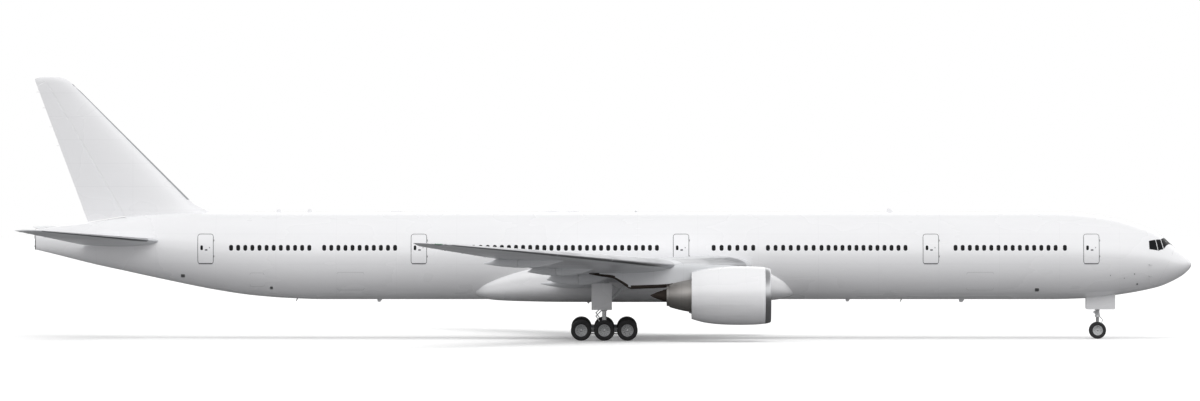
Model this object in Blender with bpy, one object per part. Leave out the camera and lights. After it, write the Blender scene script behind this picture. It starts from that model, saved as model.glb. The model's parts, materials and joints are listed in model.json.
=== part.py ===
# Long twin-engined wide-body airliner, standing on its gear, as a 1:2 scale model.
# Metres, +Z up, +X towards the nose, +Y towards the left wing, ground at Z = 0.
import math

import bmesh
import bpy
from mathutils import Matrix, Vector

# Fit of the pieces
SEAT_GAP = 0.0003
RUNNING_GAP = 0.009
PIN_GAP = 0.0006
# Degrees between two faces that are merged as one flat face
FLAT_ANGLE = 0.2

# Fuselage: station X, top Z, bottom Z and half width
BARREL_RADIUS = 1.378
BARREL_Z = 2.628
FUSELAGE_SIDES = 28
FUSELAGE_STATIONS = (
    (-18.08, 3.453, 2.821, 0.085),
    (-17.62, 3.513, 2.710, 0.215),
    (-16.10, 3.722, 2.331, 0.590),
    (-15.35, 3.842, 2.170, 0.735),
    (-14.21, 3.955, 1.920, 0.925),
    (-12.20, 4.006, 1.518, 1.205),
    (-11.17, 4.006, 1.372, 1.300),
    (-10.10, 4.006, 1.288, 1.352),
    (-9.00, 4.006, 1.250, 1.378),
    (14.10, 4.006, 1.250, 1.378),
    (14.94, 3.958, 1.272, 1.370),
    (15.57, 3.885, 1.318, 1.340),
    (16.21, 3.765, 1.402, 1.275),
    (16.84, 3.568, 1.508, 1.165),
    (17.47, 3.305, 1.657, 0.985),
    (17.79, 3.022, 1.788, 0.850),
    (18.10, 2.768, 1.951, 0.655),
    (18.26, 2.632, 2.062, 0.500),
    (18.39, 2.490, 2.190, 0.310),
    (18.46, 2.375, 2.290, 0.120),
)
# The seam between fuselage and radome, as two points of the side view
SEAM_LOW = (17.28, 1.55)
SEAM_HIGH = (17.96, 2.96)
# Cockpit glazing, the outline of one side seen square on, and its thickness
GLAZING_OUTLINE = (
    (17.115, 3.105),
    (17.320, 3.150),
    (17.600, 3.165),
    (17.950, 3.165),
    (18.200, 2.880),
    (17.890, 2.885),
    (17.700, 2.865),
    (17.560, 2.835),
    (17.440, 2.788),
    (17.360, 2.805),
    (17.135, 2.840),
)
GLAZING_DEPTH = 0.035

# Passenger doors, one each side at each station
DOOR_STATIONS = (15.25, 10.19, 2.32, -5.94, -12.67)
DOOR_WIDTH = 0.51
DOOR_SILL_Z = 2.375
DOOR_TOP_Z = 3.330
DOOR_CORNER = 0.11
DOOR_GAP = 0.004
DOOR_INNER_Y = 1.12
DOOR_INNER_Y_TAIL = 0.90

# Fairing where the wing meets the body: station X, centre Z, half width, rise, drop
FAIRING_POWER = 3.0
FAIRING_SIDES = 26
FAIRING_STATIONS = (
    (-4.25, 1.560, 0.700, 0.180, 0.180),
    (-3.80, 1.610, 1.100, 0.330, 0.350),
    (-3.30, 1.700, 1.290, 0.470, 0.490),
    (-2.60, 1.800, 1.420, 0.620, 0.615),
    (-1.40, 1.880, 1.530, 0.750, 0.716),
    (0.20, 1.900, 1.570, 0.830, 0.739),
    (2.20, 1.900, 1.570, 0.860, 0.739),
    (3.60, 1.890, 1.540, 0.850, 0.722),
    (4.55, 1.850, 1.450, 0.740, 0.660),
    (5.15, 1.780, 1.320, 0.560, 0.560),
    (5.55, 1.700, 1.130, 0.370, 0.430),
    (5.85, 1.640, 0.800, 0.180, 0.300),
)

# Wing: span Y, leading edge X and Z, trailing edge X and Z, thickness over chord
WING_STATIONS = (
    (1.00, 4.790, 2.315, -1.480, 1.760, 0.130),
    (1.40, 4.520, 2.320, -1.520, 1.800, 0.130),
    (5.00, 2.103, 2.408, -1.900, 2.180, 0.112),
    (9.20, -0.720, 2.720, -3.465, 2.660, 0.102),
    (12.20, -2.736, 2.944, -4.582, 2.890, 0.098),
    (15.20, -4.752, 3.160, -5.700, 3.120, 0.095),
    (15.75, -5.250, 3.198, -5.790, 3.172, 0.090),
    (16.20, -5.790, 3.230, -5.870, 3.226, 0.080),
)
# The cutters behind a hinge line: how far they reach aft, up and down, and their steps round the nose
REGION_REACH = 2.4
REGION_RISE = 0.9
NOSE_STEPS = 5
STUB_ROOT = 0.03
WING_CAMBER = 0.014
SECTION_FRACTIONS = (0.012, 0.06, 0.18, 0.38, 0.62, 0.82, 1.0)
THINNEST_EDGE = 0.003

# Control surfaces on the wing: inner and outer Y of the hinge, X there. The wing's lower lip is cut
# back by some degrees about the flaperon's hinge, because that surface droops furthest.
INBOARD_FLAP = ((1.72, -0.640), (4.50, -0.960))
FLAPERON = ((4.82, -1.050), (5.60, -1.330))
OUTBOARD_FLAP = ((5.86, -1.390), (11.30, -3.630))
AILERON = ((11.42, -3.690), (14.85, -5.150))
FLAPERON_LIP_RELIEF = 24.0
INBOARD_PIVOT_DROP = 0.460
OUTBOARD_PIVOT_DROP = 0.340

# Flap hinge fairings: span Y, nose X, tail X, lowest Z, half width
FLAP_FAIRINGS = (
    (2.45, 0.150, -2.100, 1.630, 0.085),
    (4.10, 0.150, -1.900, 1.755, 0.085),
    (6.35, -0.430, -2.480, 2.090, 0.080),
    (9.20, -1.350, -3.800, 2.380, 0.070),
)

# Fin: Z, leading edge X, trailing edge X
FIN_STATIONS = (
    (3.300, -12.20, -16.28),
    (4.020, -12.56, -16.55),
    (4.120, -12.82, -16.59),
    (4.270, -13.09, -16.64),
    (7.950, -16.79, -18.02),
    (8.110, -16.97, -18.08),
    (8.210, -17.13, -18.11),
    (8.268, -17.32, -17.95),
)
FIN_THICKNESS = 0.095
RUDDER_HINGE = ((-15.300, 3.910), (-17.765, 8.130))
# How far below the hinge line's lower end the rudder is drawn, before the body's crown cuts it level
RUDDER_ROOT = 0.9

# Tailplane: span Y, leading edge X and Z, trailing edge X and Z
TAILPLANE_STATIONS = (
    (0.45, -13.820, 3.070, -16.500, 2.960),
    (1.00, -14.220, 3.110, -16.700, 3.010),
    (3.10, -15.940, 3.290, -17.540, 3.235),
    (5.20, -17.660, 3.470, -18.380, 3.455),
    (5.34, -17.830, 3.483, -18.430, 3.470),
    (5.38, -18.050, 3.490, -18.460, 3.478),
)
TAILPLANE_THICKNESS = 0.095
ELEVATOR = ((1.02, -15.920), (5.08, -18.065))
TRIM_PIVOT = (-15.55, 3.055)
TRIM_SHAFT_RADIUS = 0.085
TRIM_SHAFT_END_Y = 0.300
TRIM_GAP = 0.028

# Jacking pads under the wing and the forward body: plan positions, radius, how far they stand proud
JACK_PAD = (0.60, 3.75)
NOSE_JACK_X = 13.20
JACK_PAD_RADIUS = 0.055
JACK_PAD_DEPTH = 0.012

# Engine, about an axis along X at this height
ENGINE_Y = 4.90
ENGINE_Z = 1.45
ENGINE_SIDES = 24
LIP_SEAM_X = 4.92
COWL_REAR_X = 2.62
FAN_X = 4.00
FAN_BLADES = 22
COWL_OUTER = (
    (4.92, 0.880),
    (4.60, 0.908),
    (4.10, 0.917),
    (3.50, 0.900),
    (3.00, 0.838),
    (2.62, 0.733),
)
COWL_INNER = (
    (2.62, 0.722),
    (2.95, 0.757),
    (3.40, 0.762),
    (4.15, 0.762),
    (4.60, 0.738),
    (4.92, 0.745),
)
LIP_PROFILE = (
    (4.92, 0.880),
    (5.00, 0.866),
    (5.06, 0.846),
    (5.092, 0.822),
    (5.100, 0.800),
    (5.090, 0.780),
    (5.05, 0.762),
    (4.98, 0.750),
    (4.92, 0.745),
)
CORE_PROFILE = (
    (3.860, 0.000),
    (3.860, 0.300),
    (3.780, 0.410),
    (3.400, 0.485),
    (3.000, 0.530),
    (2.620, 0.518),
    (2.250, 0.452),
    (1.936, 0.366),
    (1.925, 0.336),
    (1.843, 0.321),
    (1.843, 0.305),
    (2.030, 0.300),
    (2.030, 0.000),
)
PLUG_PROFILE = (
    (2.0297, 0.0),
    (2.0297, 0.235),
    (1.843, 0.204),
    (1.55, 0.105),
    (1.38, 0.030),
    (1.333, 0.0),
)
FAN_HUB_PROFILE = (
    (4.480, 0.0),
    (4.455, 0.050),
    (4.360, 0.118),
    (4.220, 0.178),
    (4.060, 0.235),
    (3.870, 0.262),
    (3.870, 0.0),
)
# A blade at its root and its tip: radius, chord, stagger in degrees, thickness
FAN_BLADE = ((0.19, 0.150, 30, 0.020), (0.7475, 0.170, 60, 0.008))
GUIDE_VANES = 8
GUIDE_VANE_X = (3.42, 3.60)
GUIDE_VANE_THICKNESS = 0.022

# Pylon: side view outline, and where its plan is widest
PYLON_OUTLINE = (
    (4.32, 2.250),
    (4.20, 2.345),
    (3.80, 2.395),
    (2.60, 2.425),
    (2.10, 2.410),
    (0.60, 2.400),
    (-0.58, 2.280),
    (-0.58, 2.120),
    (0.17, 1.985),
    (0.73, 1.650),
    (1.86, 1.700),
    (2.585, 1.880),
    (2.585, 2.250),
)
PYLON_HALF_WIDTH = 0.135

# Main gear
MAIN_X = -0.10
MAIN_Y = 2.75
MAIN_TYRE_RADIUS = 0.330
MAIN_TYRE_HALF_WIDTH = 0.122
MAIN_TWIN = 0.345
TRUCK_PITCH = 0.725
TRUCK_RADIUS = 0.072
TRUCK_SIDES = 8
AXLE_RADIUS = 0.042
WHEEL_SIDES = 16
MAIN_LEG_RADIUS = 0.092
MAIN_PISTON_RADIUS = 0.066
MAIN_PISTON_TOP = 0.95

# Nose gear
NOSE_X = 15.50
NOSE_TYRE_RADIUS = 0.2725
NOSE_TYRE_HALF_WIDTH = 0.088
NOSE_TWIN = 0.155
NOSE_AXLE_RADIUS = 0.034
NOSE_LEG_RADIUS = 0.070
NOSE_PISTON_RADIUS = 0.048
STEERING_Z = 0.760
WELL_X = (15.12, 16.06)
WELL_HALF_WIDTH = 0.250
WELL_TOP_Z = 1.800

# Name: colour, roughness, metallic
FINISHES = {
    "white_paint": ((0.86, 0.86, 0.87), 0.35, 0.0),
    "grey_paint": ((0.60, 0.61, 0.63), 0.40, 0.0),
    "bare_metal": ((0.62, 0.62, 0.64), 0.28, 1.0),
    "hot_metal": ((0.30, 0.27, 0.25), 0.45, 1.0),
    "gear_paint": ((0.70, 0.71, 0.72), 0.45, 0.0),
    "tyre_rubber": ((0.03, 0.03, 0.03), 0.85, 0.0),
    "cockpit_glass": ((0.02, 0.02, 0.025), 0.08, 0.0),
    "blade_titanium": ((0.22, 0.22, 0.24), 0.35, 1.0),
}


def clear_scene():
    for obj in list(bpy.data.objects):
        bpy.data.objects.remove(obj, do_unlink=True)


def finish_material(name):
    made = bpy.data.materials.get(name)
    if made:
        return made
    colour, roughness, metallic = FINISHES[name]
    made = bpy.data.materials.new(name)
    made.use_nodes = True
    shader = made.node_tree.nodes["Principled BSDF"]
    shader.inputs["Base Color"].default_value = (*colour, 1.0)
    shader.inputs["Roughness"].default_value = roughness
    shader.inputs["Metallic"].default_value = metallic
    return made


def object_from(name, bm):
    bmesh.ops.recalc_face_normals(bm, faces=bm.faces)
    mesh = bpy.data.meshes.new(name)
    bm.to_mesh(mesh)
    bm.free()
    obj = bpy.data.objects.new(name, mesh)
    bpy.context.scene.collection.objects.link(obj)
    return obj


def loft(name, rings):
    """Closed rings of equal length, joined in turn and capped at both ends."""
    bm = bmesh.new()
    rows = [[bm.verts.new(point) for point in ring] for ring in rings]
    count = len(rows[0])
    for first, second in zip(rows, rows[1:]):
        for i in range(count):
            j = (i + 1) % count
            bm.faces.new((first[i], first[j], second[j], second[i]))
    bm.faces.new(rows[0])
    bm.faces.new(rows[-1])
    return object_from(name, bm)


def turned(name, profile, origin, along, sides, closed=False):
    """Profile of (distance along, radius), turned about the axis through origin."""
    axis = Vector(along).normalized()
    side = axis.orthogonal().normalized()
    if abs(axis.z) < 0.9:
        side = Vector((0, 0, 1)).cross(axis).normalized()
    up = axis.cross(side)
    bm = bmesh.new()
    rows = []
    for reach, radius in profile:
        centre = Vector(origin) + axis * reach
        if radius == 0:
            rows.append([bm.verts.new(centre)])
            continue
        row = []
        for i in range(sides):
            turn = 2 * math.pi * (i + 0.5) / sides
            row.append(bm.verts.new(centre + radius * (math.cos(turn) * up + math.sin(turn) * side)))
        rows.append(row)
    pairs = list(zip(rows, rows[1:]))
    if closed:
        pairs.append((rows[-1], rows[0]))
    for first, second in pairs:
        for i in range(sides):
            j = (i + 1) % sides
            if len(first) == 1:
                bm.faces.new((first[0], second[i], second[j]))
            elif len(second) == 1:
                bm.faces.new((first[i], first[j], second[0]))
            else:
                bm.faces.new((first[i], first[j], second[j], second[i]))
    return object_from(name, bm)


def tube(name, start, end, radius, sides=8, end_radius=None):
    start, end = Vector(start), Vector(end)
    reach = (end - start).length
    far = radius if end_radius is None else end_radius
    profile = ((0, 0), (0, radius), (reach, far), (reach, 0))
    return turned(name, profile, start, end - start, sides)


def block(name, low, high):
    bm = bmesh.new()
    bmesh.ops.create_cube(bm, size=1.0)
    size = Vector(high) - Vector(low)
    middle = (Vector(high) + Vector(low)) / 2
    bmesh.ops.scale(bm, vec=size, verts=bm.verts)
    bmesh.ops.translate(bm, vec=middle, verts=bm.verts)
    return object_from(name, bm)


def prism(name, outline, axis, low, high):
    """An outline of (X, other) drawn square to the named axis, from low to high on it."""
    rings = []
    for level in (low, high):
        if axis == "Y":
            rings.append([Vector((a, level, b)) for a, b in outline])
        else:
            rings.append([Vector((a, b, level)) for a, b in outline])
    return loft(name, rings)


def split_into_triangles(obj):
    bm = bmesh.new()
    bm.from_mesh(obj.data)
    bmesh.ops.triangulate(bm, faces=bm.faces)
    bm.to_mesh(obj.data)
    bm.free()


def combine(target, tool, operation, keep_tool=False):
    """Applies a Boolean of the tool to the target."""
    split_into_triangles(target)
    split_into_triangles(tool)
    modifier = target.modifiers.new("Combine", "BOOLEAN")
    modifier.operation = operation
    modifier.solver = "EXACT"
    modifier.object = tool
    bpy.context.view_layer.update()
    graph = bpy.context.evaluated_depsgraph_get()
    mesh = bpy.data.meshes.new_from_object(target.evaluated_get(graph))
    target.modifiers.clear()
    target.data = mesh
    if not keep_tool:
        bpy.data.objects.remove(tool, do_unlink=True)
    return target


def fuse(target, *tools):
    for tool in tools:
        combine(target, tool, "UNION")
    return target


def cut(target, *tools, keep_tool=False):
    for tool in tools:
        combine(target, tool, "DIFFERENCE", keep_tool)
    return target


def duplicate(obj, name, shift=(0, 0, 0)):
    made = obj.copy()
    made.data = obj.data.copy()
    made.name = name
    made.data.transform(Matrix.Translation(Vector(shift)))
    bpy.context.scene.collection.objects.link(made)
    return made


def remove(*objects):
    for obj in objects:
        bpy.data.objects.remove(obj, do_unlink=True)


def merge_flat_faces(obj):
    bm = bmesh.new()
    bm.from_mesh(obj.data)
    limit = math.radians(FLAT_ANGLE)
    bmesh.ops.dissolve_limit(bm, angle_limit=limit, verts=bm.verts, edges=bm.edges)
    bmesh.ops.triangulate(bm, faces=[face for face in bm.faces if len(face.verts) > 4])
    bm.to_mesh(obj.data)
    bm.free()


def finish(obj, name, material, pivot=None, parent=None, smooth_angle=35):
    """Names the piece, gives it one material and puts its origin on its joint's axis."""
    merge_flat_faces(obj)
    obj.name = name
    obj.data.name = name
    obj.data.materials.clear()
    obj.data.materials.append(finish_material(material))
    for polygon in obj.data.polygons:
        polygon.material_index = 0
    obj.data.shade_smooth()
    obj.data.set_sharp_from_angle(angle=math.radians(smooth_angle))
    if pivot is not None:
        obj.data.transform(Matrix.Translation(-Vector(pivot)))
        obj.location = Vector(pivot)
    bpy.context.view_layer.update()
    if parent:
        obj.parent = parent
        obj.matrix_parent_inverse = parent.matrix_world.inverted()
    return obj


def side_name(side):
    return "left" if side > 0 else "right"


def blend(table, key):
    """The row of a station table at this key, between its neighbours."""
    rows = sorted(table)
    for first, second in zip(rows, rows[1:]):
        if key <= second[0]:
            share = (key - first[0]) / (second[0] - first[0])
            return [a + (b - a) * share for a, b in zip(first, second)]
    return list(rows[-1])


# Fuselage, radome, glazing and doors


def fuselage_ring(station, grow, sides):
    x, top, bottom, half_width = station
    middle = (top + bottom) / 2
    rise = (top - bottom) / 2 + grow
    ring = []
    for i in range(sides):
        turn = 2 * math.pi * i / sides
        ring.append(Vector((x, (half_width + grow) * math.sin(turn), middle + rise * math.cos(turn))))
    return ring


def fuselage_solid(name, grow=0.0):
    stations = list(FUSELAGE_STATIONS)
    rings = [fuselage_ring(station, grow, FUSELAGE_SIDES) for station in stations]
    if grow > 0:
        for point in rings[0]:
            point.x -= grow
        for point in rings[-1]:
            point.x += grow
    return loft(name, rings)


def fuselage_half_width(x, z):
    _, top, bottom, half_width = blend(FUSELAGE_STATIONS, x)
    middle = (top + bottom) / 2
    rise = (top - bottom) / 2
    return half_width * math.sqrt(max(0.0, 1 - ((z - middle) / rise) ** 2))


def keep_side(source, name, point, normal):
    """A copy of the piece, cut by a plane and closed, on the side the normal points to."""
    bm = bmesh.new()
    bm.from_mesh(source.data)
    geometry = bm.verts[:] + bm.edges[:] + bm.faces[:]
    bmesh.ops.bisect_plane(bm, geom=geometry, plane_co=point, plane_no=normal, clear_inner=True)
    open_edges = [edge for edge in bm.edges if edge.is_boundary]
    bmesh.ops.edgeloop_fill(bm, edges=open_edges)
    return object_from(name, bm)


def rounded_outline(centre_x, low_z, high_z, width, corner, steps=3):
    outline = []
    half = width / 2
    corners = ((1, 1, 0), (-1, 1, 90), (-1, -1, 180), (1, -1, 270))
    for sign_x, sign_z, start in corners:
        middle_x = centre_x + sign_x * (half - corner)
        middle_z = (high_z if sign_z > 0 else low_z) - sign_z * corner
        for i in range(steps + 1):
            turn = math.radians(start + 90 * i / steps)
            outline.append((middle_x + corner * math.cos(turn), middle_z + corner * math.sin(turn)))
    return outline


def make_glazing(body):
    outer = prism("glazing_region", GLAZING_OUTLINE, "Y", -1.6, 1.6)
    glazing = duplicate(body, "windscreen")
    combine(glazing, outer, "INTERSECT", keep_tool=True)
    inner = fuselage_solid("glazing_inner", -GLAZING_DEPTH)
    cut(glazing, inner)
    floor = fuselage_solid("glazing_floor", -GLAZING_DEPTH - SEAT_GAP)
    pocket_outline = grown_outline(GLAZING_OUTLINE, SEAT_GAP * 4)
    pocket = prism("glazing_pocket", pocket_outline, "Y", -1.6, 1.6)
    cut(pocket, floor)
    remove(outer)
    return glazing, pocket


def grown_outline(outline, grow):
    """The outline moved outwards by this much along each corner's own bisector."""
    area = sum(a[0] * b[1] - b[0] * a[1] for a, b in zip(outline, outline[1:] + outline[:1]))
    turn = 1 if area > 0 else -1
    made = []
    count = len(outline)
    for i in range(count):
        before = Vector(outline[i]) - Vector(outline[i - 1])
        after = Vector(outline[(i + 1) % count]) - Vector(outline[i])
        first = Vector((before.y, -before.x)).normalized() * turn
        second = Vector((after.y, -after.x)).normalized() * turn
        both = (first + second).normalized()
        reach = grow / max(0.3, both.dot(first))
        made.append(tuple(Vector(outline[i]) + both * reach))
    return made


def make_doors(body):
    doors = []
    for number, x in enumerate(DOOR_STATIONS, start=1):
        inner_y = DOOR_INNER_Y_TAIL if x < -12 else DOOR_INNER_Y
        outline = rounded_outline(x, DOOR_SILL_Z, DOOR_TOP_Z, DOOR_WIDTH, DOOR_CORNER)
        opening = grown_outline(outline, DOOR_GAP)
        for side in (1, -1):
            span = sorted((side * (inner_y + SEAT_GAP), side * 1.6))
            door = duplicate(body, f"door_{side_name(side)}_{number}")
            combine(door, prism("door_region", outline, "Y", *span), "INTERSECT")
            doors.append(door)
            span = sorted((side * inner_y, side * 1.6))
            cut(body, prism("door_opening", opening, "Y", *span))
    return doors


def make_fuselage():
    whole = fuselage_solid("whole_body")
    seam = Vector((SEAM_HIGH[0] - SEAM_LOW[0], 0, SEAM_HIGH[1] - SEAM_LOW[1]))
    forward = Vector((seam.z, 0, -seam.x)).normalized()
    point = Vector((SEAM_LOW[0], 0, SEAM_LOW[1]))
    radome = keep_side(whole, "radome", point + forward * SEAT_GAP / 2, forward)
    body = keep_side(whole, "fuselage", point - forward * SEAT_GAP / 2, -forward)
    glazing, pocket = make_glazing(whole)
    cut(body, pocket, keep_tool=True)
    cut(radome, pocket)
    doors = make_doors(body)
    well = block("nose_well", (WELL_X[0], -WELL_HALF_WIDTH, 0.9), (WELL_X[1], WELL_HALF_WIDTH, WELL_TOP_Z))
    cut(body, well)
    for side in (1, -1):
        start = (TRIM_PIVOT[0], TRIM_SHAFT_END_Y * side, TRIM_PIVOT[1])
        end = (TRIM_PIVOT[0], 1.5 * side, TRIM_PIVOT[1])
        cut(body, bore("trim_bore", start, end, TRIM_SHAFT_RADIUS, 16))
    remove(whole)
    keel_z = BARREL_Z - BARREL_RADIUS
    pad = ((NOSE_JACK_X, 0, keel_z + 0.06), (NOSE_JACK_X, 0, keel_z - JACK_PAD_DEPTH))
    fuse(body, tube("nose_pad", *pad, JACK_PAD_RADIUS, 12))
    finish(body, "fuselage", "white_paint")
    finish(radome, "radome", "white_paint", parent=body)
    finish(glazing, "windscreen", "cockpit_glass", parent=body)
    for door in doors:
        finish(door, door.name, "white_paint", parent=body)
    return body


def fairing_solid(name, grow=0.0):
    rings = []
    for x, centre, half_width, rise, drop in FAIRING_STATIONS:
        ring = []
        for i in range(FAIRING_SIDES):
            turn = 2 * math.pi * i / FAIRING_SIDES
            across, along = math.sin(turn), math.cos(turn)
            scale = (abs(across) ** FAIRING_POWER + abs(along) ** FAIRING_POWER) ** (-1 / FAIRING_POWER)
            reach = (rise if along > 0 else drop) + grow
            ring.append(Vector((x, (half_width + grow) * across * scale, centre + reach * along * scale)))
        rings.append(ring)
    return loft(name, rings)


def make_fairing(body):
    fairing = fairing_solid("wing_body_fairing")
    cut(fairing, fuselage_solid("body_seat", SEAT_GAP))
    return finish(fairing, "wing_body_fairing", "white_paint", parent=body)


# Wings and their control surfaces


def thickness_share(fraction):
    """Half thickness of the section over its full thickness ratio, at this share of chord."""
    terms = (0.2969, -0.1260, -0.3516, 0.2843, -0.1015)
    powers = (0.5, 1, 2, 3, 4)
    return 5 * sum(term * fraction**power for term, power in zip(terms, powers))


def wing_section(y, fraction):
    """X, middle Z and half thickness of the wing at this span and share of chord."""
    _, front_x, front_z, rear_x, rear_z, ratio = blend(WING_STATIONS, y)
    chord = front_x - rear_x
    x = front_x - chord * fraction
    middle = front_z + (rear_z - front_z) * fraction + WING_CAMBER * chord * 4 * fraction * (1 - fraction)
    return x, middle, max(THINNEST_EDGE, ratio * chord * thickness_share(fraction))


def wing_middle(x, y):
    """Middle Z and half thickness of the wing under or over a point of the plan."""
    _, front_x, _, rear_x, _, _ = blend(WING_STATIONS, y)
    fraction = min(1.0, max(0.0, (front_x - x) / (front_x - rear_x)))
    return wing_section(y, fraction)[1:]


def foil_ring(y, section):
    upper, lower = [], []
    for fraction in SECTION_FRACTIONS:
        x, middle, half = section(y, fraction)
        upper.append(Vector((x, y, middle + half)))
        lower.append(Vector((x, y, middle - half)))
    x, middle, _ = section(y, 0.0)
    return [Vector((x, y, middle))] + upper + lower[::-1]


def hinge_points(surface, middle_of):
    """The two ends of a hinge line and the nose radius at each."""
    ends = []
    for y, x in surface:
        middle, half = middle_of(x, y)
        ends.append((Vector((x, y, middle)), half * 0.97))
    return ends


def surface_region(name, ends, grow, relief=0.0):
    """Everything behind a hinge line, with a round nose about the line itself."""
    (start, start_radius), (end, end_radius) = ends
    along = (end - start).normalized()
    aft = (Vector((-1, 0, 0)) + along * along.x).normalized()
    up = aft.cross(along)
    if up.z < 0:
        up = -up
    rings = []
    places = ((start - along * grow, start_radius), (end + along * grow, end_radius))
    for centre, radius in places:
        nose = radius + grow
        lean = math.asin(grow / nose)
        low_lean = max(lean, math.radians(relief))
        flat = [(REGION_REACH, REGION_RISE), (-grow, REGION_RISE)]
        for i in range(NOSE_STEPS + 1):
            turn = math.pi / 2 + lean + (math.pi - lean - low_lean) * i / NOSE_STEPS
            flat.append((nose * math.cos(turn), nose * math.sin(turn)))
        flat += [(-nose * math.sin(low_lean), -REGION_RISE), (REGION_REACH, -REGION_RISE)]
        rings.append([centre + aft * a + up * b for a, b in flat])
    return loft(name, rings)


def split_surface(whole, name, ends, relief=0.0):
    """Takes a moving surface out of the whole, leaving a round cove round its nose."""
    moving = duplicate(whole, name)
    combine(moving, surface_region("region", ends, 0.0), "INTERSECT")
    cut(whole, surface_region("cove", ends, RUNNING_GAP, relief))
    (start, start_radius), (end, end_radius) = ends
    along = (end - start).normalized()
    return fuse(moving, hinge_stub(start, -along, start_radius), hinge_stub(end, along, end_radius))


def hinge_stub(point, outward, nose_radius):
    """A pin on the hinge line that crosses the running gap at the end of a surface."""
    end = point + outward * (RUNNING_GAP - SEAT_GAP)
    return tube("hinge_stub", point - outward * STUB_ROOT, end, nose_radius * 0.5)


def flap_fairing(y, nose_x, tail_x, low_z, half_width):
    rear_x = blend(WING_STATIONS, y)[3]
    shape = (
        (0.00, 0.10, 0.0),
        (0.18, 0.80, 0.62),
        (0.50, 1.00, 1.00),
        (0.78, 0.72, 0.82),
        (1.00, 0.10, 0.45),
    )
    middle, half = wing_middle(nose_x, y)
    nose_z = middle - half
    rings = []
    for share, width, depth in shape:
        x = nose_x + (tail_x - nose_x) * share
        low = nose_z + (low_z - nose_z) * depth - 0.006
        middle, half = wing_middle(max(x, rear_x), y)
        past = max(0.0, (rear_x - x) / (rear_x - tail_x))
        high = middle + (low + 0.03 - middle) * past
        centre, rise = (high + low) / 2, (high - low) / 2
        ring = []
        for i in range(8):
            turn = 2 * math.pi * i / 8
            ring.append(Vector((x, y + half_width * width * math.sin(turn), centre + rise * math.cos(turn))))
        rings.append(ring)
    return loft("flap_fairing", rings)


def make_left_wing():
    rings = [foil_ring(row[0], wing_section) for row in WING_STATIONS]
    wing = loft("wing_left", rings)
    for row in FLAP_FAIRINGS:
        fuse(wing, flap_fairing(*row))
    middle, half = wing_middle(*JACK_PAD)
    pad_z = middle - half - JACK_PAD_DEPTH
    fuse(wing, tube("jack_pad", (*JACK_PAD, middle), (*JACK_PAD, pad_z), JACK_PAD_RADIUS, 12))
    pieces = {"wing": wing}
    surfaces = (
        ("inboard_flap", INBOARD_FLAP, 0.0),
        ("flaperon", FLAPERON, FLAPERON_LIP_RELIEF),
        ("outboard_flap", OUTBOARD_FLAP, 0.0),
        ("aileron", AILERON, 0.0),
    )
    for name, line, relief in surfaces:
        pieces[name] = split_surface(wing, name, hinge_points(line, wing_middle), relief)
    cut(wing, fairing_solid("fairing_seat", SEAT_GAP), fuselage_solid("body_seat", SEAT_GAP))
    return pieces


def mirrored(obj, name):
    made = duplicate(obj, name)
    made.data.transform(Matrix.Scale(-1, 4, Vector((0, 1, 0))))
    made.data.flip_normals()
    return made


def place_pair(left_piece, name, material, parents, pivot=None):
    """Finishes the left piece and its mirror image, and returns both."""
    made = {}
    right_piece = mirrored(left_piece, f"{name}_right")
    for side, piece in ((1, left_piece), (-1, right_piece)):
        point = None if pivot is None else (pivot[0], side * pivot[1], pivot[2])
        made[side] = finish(piece, f"{name}_{side_name(side)}", material, point, parents[side])
    return made


def surface_pivot(line, middle_of, drop=0.0):
    (start, _), (end, _) = hinge_points(line, middle_of)
    return (start + end) / 2 - Vector((0, 0, drop))


# Fin and tailplane


def fin_ring(station):
    z, front, rear = station
    chord = front - rear
    ring_left, ring_right = [], []
    for fraction in SECTION_FRACTIONS:
        half = max(THINNEST_EDGE, FIN_THICKNESS * chord * thickness_share(fraction))
        ring_left.append(Vector((front - chord * fraction, half, z)))
        ring_right.append(Vector((front - chord * fraction, -half, z)))
    return [Vector((front, 0, z))] + ring_left + ring_right[::-1]


def fin_half_thickness(x, z):
    _, front, rear = blend(FIN_STATIONS, z)
    chord = front - rear
    return FIN_THICKNESS * chord * thickness_share(min(1.0, (front - x) / chord))


def make_fin(body):
    fin = loft("fin", [fin_ring(station) for station in FIN_STATIONS])
    ends = [(Vector((x, 0, z)), fin_half_thickness(x, z) * 0.97) for x, z in RUDDER_HINGE]
    (start, start_radius), (end, end_radius) = ends
    along = (end - start).normalized()
    low = start - along * RUDDER_ROOT
    low_radius = start_radius + (start_radius - end_radius) * RUDDER_ROOT / (end - start).length
    regions = {}
    for name, grow in (("rudder_region", 0.0), ("rudder_cove", RUNNING_GAP)):
        regions[name] = fin_region(name, ((low, low_radius), (end, end_radius)), grow)
    rudder = duplicate(fin, "rudder")
    combine(rudder, regions["rudder_region"], "INTERSECT")
    cut(fin, regions["rudder_cove"])
    fuse(rudder, hinge_stub(end, along, end_radius))
    cut(rudder, crown_block("rudder_clearance", RUNNING_GAP))
    cut(fin, fuselage_solid("fin_seat", SEAT_GAP))
    pivot = (start + end) / 2
    finish(fin, "fin", "white_paint", parent=body)
    finish(rudder, "rudder", "white_paint", pivot, fin)


def crown_block(name, grow):
    """A block with the crown line of the rear body as its top, level from side to side."""
    crown = [(station[0], station[1] + grow) for station in FUSELAGE_STATIONS[:6]]
    crown = [(crown[0][0] - 1.0, crown[0][1])] + crown
    outline = crown + [(crown[-1][0], 2.0), (crown[0][0], 2.0)]
    return prism(name, outline, "Y", -REGION_RISE, REGION_RISE)


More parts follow.
